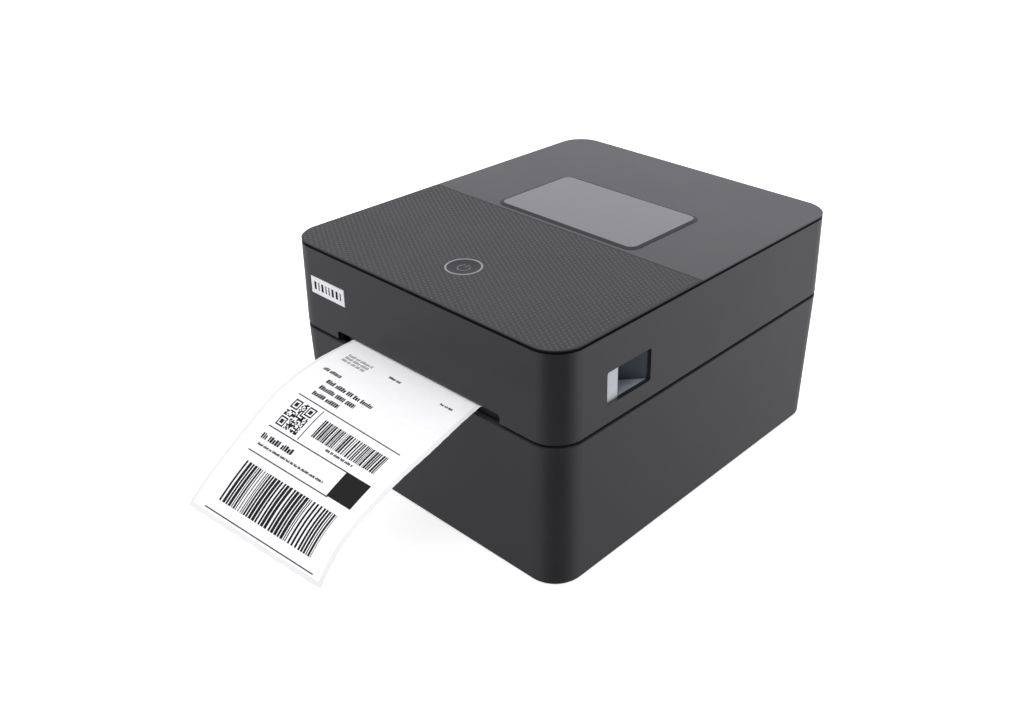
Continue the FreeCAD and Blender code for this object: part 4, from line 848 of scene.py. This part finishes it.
def on_liner(across, along):
    """The point on the liner at flat millimetres from its left edge and from the slot."""
    place = min(max(along / label_length, 0.0), 1.0) * edge_rows
    i = min(int(place), edge_rows - 1)
    left = left_line[i].lerp(left_line[i + 1], place - i)
    right = right_line[i].lerp(right_line[i + 1], place - i)
    y, z = left.lerp(right, across / liner_width)
    return Vector(((across - liner_width / 2) * MM, y, z))


def liner_up(across, along):
    """The liner's upward normal."""
    down = on_liner(across, along + 0.5) - on_liner(across, along - 0.5)
    over = on_liner(across + 0.5, along) - on_liner(across - 0.5, along)
    return over.cross(-down).normalized() * (1 if over.cross(-down).z > 0 else -1)


def slab(across_places, along_places, low, high, edge=lambda across, along: (across, along)):
    """A closed thin slab that follows the liner over a grid of flat places."""
    points, faces = [], []
    wide, long = len(across_places), len(along_places)
    for height in (low, high):
        for along in along_places:
            for across in across_places:
                a, s = edge(across, along)
                points.append(on_liner(a, s) + liner_up(a, s) * height)
    layer = wide * long
    for i in range(long - 1):
        for j in range(wide - 1):
            a = i * wide + j
            faces.append((a, a + 1, a + wide + 1, a + wide))
            faces.append((layer + a, layer + a + wide, layer + a + wide + 1, layer + a + 1))
    border = [j for j in range(wide)] + [i * wide + wide - 1 for i in range(1, long)]
    border += [(long - 1) * wide + j for j in range(wide - 2, -1, -1)]
    border += [i * wide for i in range(long - 2, 0, -1)]
    for a, b in zip(border, border[1:] + border[:1]):
        faces.append((b, a, layer + a, layer + b))
    return points, faces


def steps_between(start, end, most):
    """Places from start to end, no further apart than most."""
    count = max(1, math.ceil((end - start) / most))
    return [start + (end - start) * i / count for i in range(count + 1)]


# Ripples in millimetres, and how fast they come in radians per millimetre.
side_ripples = ((0.07, 0.9), (0.05, 2.3))
tear_depth, tear_tooth, tear_rate = 0.5, 0.35, 2.1


def torn_edge(across, along):
    """The liner's own edge: a faint ripple down each side and the perforation's teeth at the end."""
    if across in (0.0, liner_width):
        across += sum(height * math.sin(along * rate) for height, rate in side_ripples)
    if along == label_length:
        along -= tear_depth + tear_tooth * math.sin(across * tear_rate)
    return across, along


# Glassine: thin, dense, slightly grey paper with a calendered sheen.
liner_glassine = grained(
    "glassine_liner", ("#e4e4e3", "#dcdcdb"), (0.4, 0.5), 8.0, 0.5, 0.006, {"IOR": 1.5}
)
across_step, liner_step, label_step = 4.0, 0.8, 1.0
points, faces = slab(
    steps_between(0.0, liner_width, across_step),
    steps_between(0.0, label_length, liner_step),
    -liner_thick / 2,
    liner_thick / 2,
    torn_edge,
)
liner = new_piece("label_liner", points, faces, liner_glassine, "base")
label_across = steps_between(label_margin, liner_width - label_margin, across_step)
label_along = steps_between(0.0, label_length - label_end_margin, label_step)
points, faces = slab(label_across, label_along, liner_thick / 2 - ink_sink, liner_thick / 2 + label_lift)
face_label = new_piece("printed_face_label", points, faces, thermal_paper, "base")

# Thermal print is a dye in the paper's coating: a soft black with the paper's own sheen.
thermal_black = grained(
    "thermal_print_black",
    ("#0d0d0e", "#151516"),
    (0.5, 0.6),
    3.0,
    0.4,
    0.004,
    {"IOR": 1.5, "Specular IOR Level": 0.15},
)
# Fine print doesn't burn in fully, so it stays grey.
thermal_grey = grained(
    "thermal_print_grey", ("#8d8d8f", "#9d9d9f"), (0.5, 0.6), 1.0, 0.4, 0.004, {"IOR": 1.5}
)
label_face = liner_thick / 2 + label_lift
ink_low, ink_high = label_face - ink_sink, label_face + ink_thick
patch_across_step, patch_along_step, rule = 6.0, 3.0, 0.6
# Letters as shares of their height: narrowest, widest, gap, word gap and how far a small one is cut.
letter_slim, letter_wide, letter_gap, word_gap, small_cut = 0.3, 0.55, 0.13, 0.4, 0.22
word_letters = (3, 8)
code_ring, code_dark_share = 7, 0.56
print_points, print_faces = [], []
faint_points, faint_faces = [], []
print_chance = random.Random(11)


def printed_patch(x0, x1, s0, s1, points=print_points, faces=print_faces):
    """One printed rectangle, in flat millimetres across the liner and along it."""
    across_places = steps_between(x0, x1, patch_across_step)
    along_places = steps_between(s0, s1, patch_along_step)
    add_to(points, faces, slab(across_places, along_places, ink_low, ink_high))


def printed_words(x0, x1, s0, height, points=print_points, faces=print_faces):
    """A line of made-up words: strokes of uneven height and gaps, which spell nothing."""
    x = x0
    while x < x1 - word_gap * height:
        for _ in range(print_chance.randint(*word_letters)):
            wide = height * print_chance.uniform(letter_slim, letter_wide)
            top = s0 + height * print_chance.choice((0.0, 0.0, small_cut))
            printed_patch(x, min(x + wide, x1), top, s0 + height, points, faces)
            x += wide + height * letter_gap
            if x >= x1:
                return
        x += height * word_gap


def printed_bars(x0, x1, s0, s1, narrow):
    """A bar code that holds nothing: bars and gaps of one to three narrow widths."""
    x = x0
    while x < x1:
        wide = narrow * print_chance.choice((1, 2, 2, 3))
        printed_patch(x, min(x + wide, x1), s0, s1)
        x += wide + narrow * print_chance.choice((1, 1, 1, 2))


def printed_code(x0, s0, size, cells):
    """A square code that holds nothing, with a ring in three corners."""
    cell, middle = size / cells, code_ring // 2

    def dark(i, j):
        """True in a ring's outer band and its middle, and here and there outside the rings."""
        for ci, cj in ((0, 0), (cells - code_ring, 0), (0, cells - code_ring)):
            a, b = i - ci, j - cj
            if -1 <= a <= code_ring and -1 <= b <= code_ring:
                inside = 0 <= a < code_ring and 0 <= b < code_ring
                away = max(abs(a - middle), abs(b - middle))
                return inside and away != middle - 1
        return print_chance.random() < code_dark_share

    for j in range(cells):
        run = 0
        for i in range(cells + 1):
            if i < cells and dark(i, j):
                run += 1
                continue
            if run:
                printed_patch(x0 + (i - run) * cell, x0 + i * cell, s0 + j * cell, s0 + (j + 1) * cell)
            run = 0


# The layout, in flat millimetres: left, right, top and then height or bottom. Across counts from the
# liner's left edge, and down counts from the slot.
sender_left, sender_right, sender_top, sender_pitch, sender_letter = 11.0, 31.0, 9.0, 2.4, 1.7
for line in range(3):
    line_top = sender_top + sender_pitch * line
    printed_words(sender_left, sender_right, line_top, sender_letter, faint_points, faint_faces)
weight_note, page_note, deliver_to = (44.6, 53.6, 9.0, 1.5), (83.8, 93.5, 8.4, 1.3), (9.7, 24.2, 24.4, 2.0)
for words in (weight_note, page_note, deliver_to):
    printed_words(*words)
address_left, address_letter = 19.5, 2.6
for line_right, line_top in ((55.7, 30.0), (47.0, 34.9), (39.7, 39.6)):
    printed_words(address_left, line_right, line_top, address_letter)
code_rule, service_rule = (13.5, 91.5, 45.4), (13.2, 75.4, 67.3)
tracking_rule, foot_rule = (12.5, 76.6, 82.6), (11.0, 95.6, 117.0)
for rule_left, rule_right, rule_top in (code_rule, service_rule, tracking_rule, foot_rule):
    printed_patch(rule_left, rule_right, rule_top, rule_top + rule)
divider_left, divider_top, divider_end = 35.3, 47.0, 66.5
printed_patch(divider_left, divider_left + rule, divider_top, divider_end)
code_left, code_top, code_size, code_cells = 15.7, 48.5, 16.8, 21
printed_code(code_left, code_top, code_size, code_cells)
route_bars, route_narrow_bar = (41.0, 88.5, 50.3, 61.6), 0.42
printed_bars(*route_bars, route_narrow_bar)
route_number, service_name = (55.0, 75.4, 62.8, 1.4), (14.0, 40.5, 71.8, 3.2)
service_note = (15.4, 68.0, 77.4, 1.3)
for words in (route_number, service_name, service_note):
    printed_words(*words)
service_block = (75.4, 93.0, 67.3, 82.5)
printed_patch(*service_block)
tracking_bars, tracking_narrow_bar = (17.3, 89.6, 88.0, 111.3), 0.66
printed_bars(*tracking_bars, tracking_narrow_bar)
label_print = new_piece("label_print", print_points, print_faces, thermal_black, "base")
faint_print = new_piece("label_faint_print", faint_points, faint_faces, thermal_grey, "base")
# The label is left out of reflections, so that the case stays an even black beside it.
for sheet_part in (liner, face_label):
    sheet_part.visible_glossy = False
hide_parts("printed_label")


# ---- Studio ----
# A table of white acrylic, lit from below so that shadows stay faint, under a bright tent of light.
# The tent is open towards the camera, which leaves the dark band down the case's front corner.

floor_acrylic = grained(
    "lit_white_acrylic",
    ("#f6f6f6", "#f2f2f2"),
    (0.8, 0.9),
    600.0,
    3.0,
    0.02,
    {"IOR": 1.4, "Emission Color": (1.0, 1.0, 1.0, 1.0), "Emission Strength": 0.6},
)
floor_half = 12.0
floor_mesh = bpy.data.meshes.new("floor")
corners = ((-1, -1), (1, -1), (1, 1), (-1, 1))
floor_mesh.from_pydata([(floor_half * x, floor_half * y, 0.0) for x, y in corners], [], [(0, 1, 2, 3)])
floor_mesh.materials.append(floor_acrylic)
floor = bpy.data.objects.new("floor", floor_mesh)
floor.visible_glossy = False
bpy.context.scene.collection.objects.link(floor)

world = bpy.data.worlds.new("studio")
world.use_nodes = True
sky = world.node_tree
towards = add_node(sky, "TexCoord").outputs["Generated"]
gap_turn = yaw + math.radians(8)
gap_direction = (math.sin(gap_turn), -math.cos(gap_turn), 0.0)
opening = add_node(sky, "VectorMath", {"operation": "DOT_PRODUCT", 1: gap_direction}, {0: towards})
curtain = add_node(
    sky,
    "MapRange",
    {"interpolation_type": "SMOOTHSTEP", "From Min": 0.3, "From Max": 0.85, "To Min": 1.0, "To Max": 0.14},
    {"Value": opening.outputs["Value"]},
)
height = add_node(sky, "SeparateXYZ", {}, {"Vector": towards})
low_fall = add_node(
    sky,
    "MapRange",
    {"From Min": -0.75, "From Max": -0.35, "To Min": 0.3, "To Max": 0.92},
    {"Value": height.outputs["Z"]},
)
high_rise = add_node(
    sky,
    "MapRange",
    {"From Min": 0.0, "From Max": 0.45, "To Min": 1.0, "To Max": 1.5},
    {"Value": height.outputs["Z"]},
)
side_tilt = add_node(
    sky,
    "MapRange",
    {"From Min": -0.7, "From Max": 0.7, "To Min": 0.8, "To Max": 1.16},
    {"Value": height.outputs["X"]},
)
tent_strength, glow = 0.82, low_fall.outputs["Result"]
glow = add_node(sky, "Math", {"operation": "MULTIPLY", 1: tent_strength}, {0: glow}).outputs[0]
for factor in (curtain, high_rise, side_tilt):
    share = factor.outputs["Result"]
    glow = add_node(sky, "Math", {"operation": "MULTIPLY"}, {0: glow, 1: share}).outputs[0]
seen = add_node(sky, "LightPath").outputs["Is Camera Ray"]
glow = add_node(sky, "Math", {"operation": "MAXIMUM"}, {0: glow, 1: seen}).outputs[0]
sky.links.new(glow, sky.nodes["Background"].inputs["Strength"])
sky.nodes["Background"].inputs["Color"].default_value = linear("#fbf9ff")
bpy.context.scene.world = world

overhead_data = bpy.data.lights.new("overhead", "AREA")
overhead_data.size = 1.6
overhead_data.energy = 14.0
overhead = bpy.data.objects.new("overhead", overhead_data)
bpy.context.scene.collection.objects.link(overhead)
overhead.location = (-0.1, -0.5, 1.6)
overhead.rotation_euler = Vector(overhead.location).to_track_quat("Z", "Y").to_euler()
bpy.context.scene.view_settings.view_transform = "Standard"
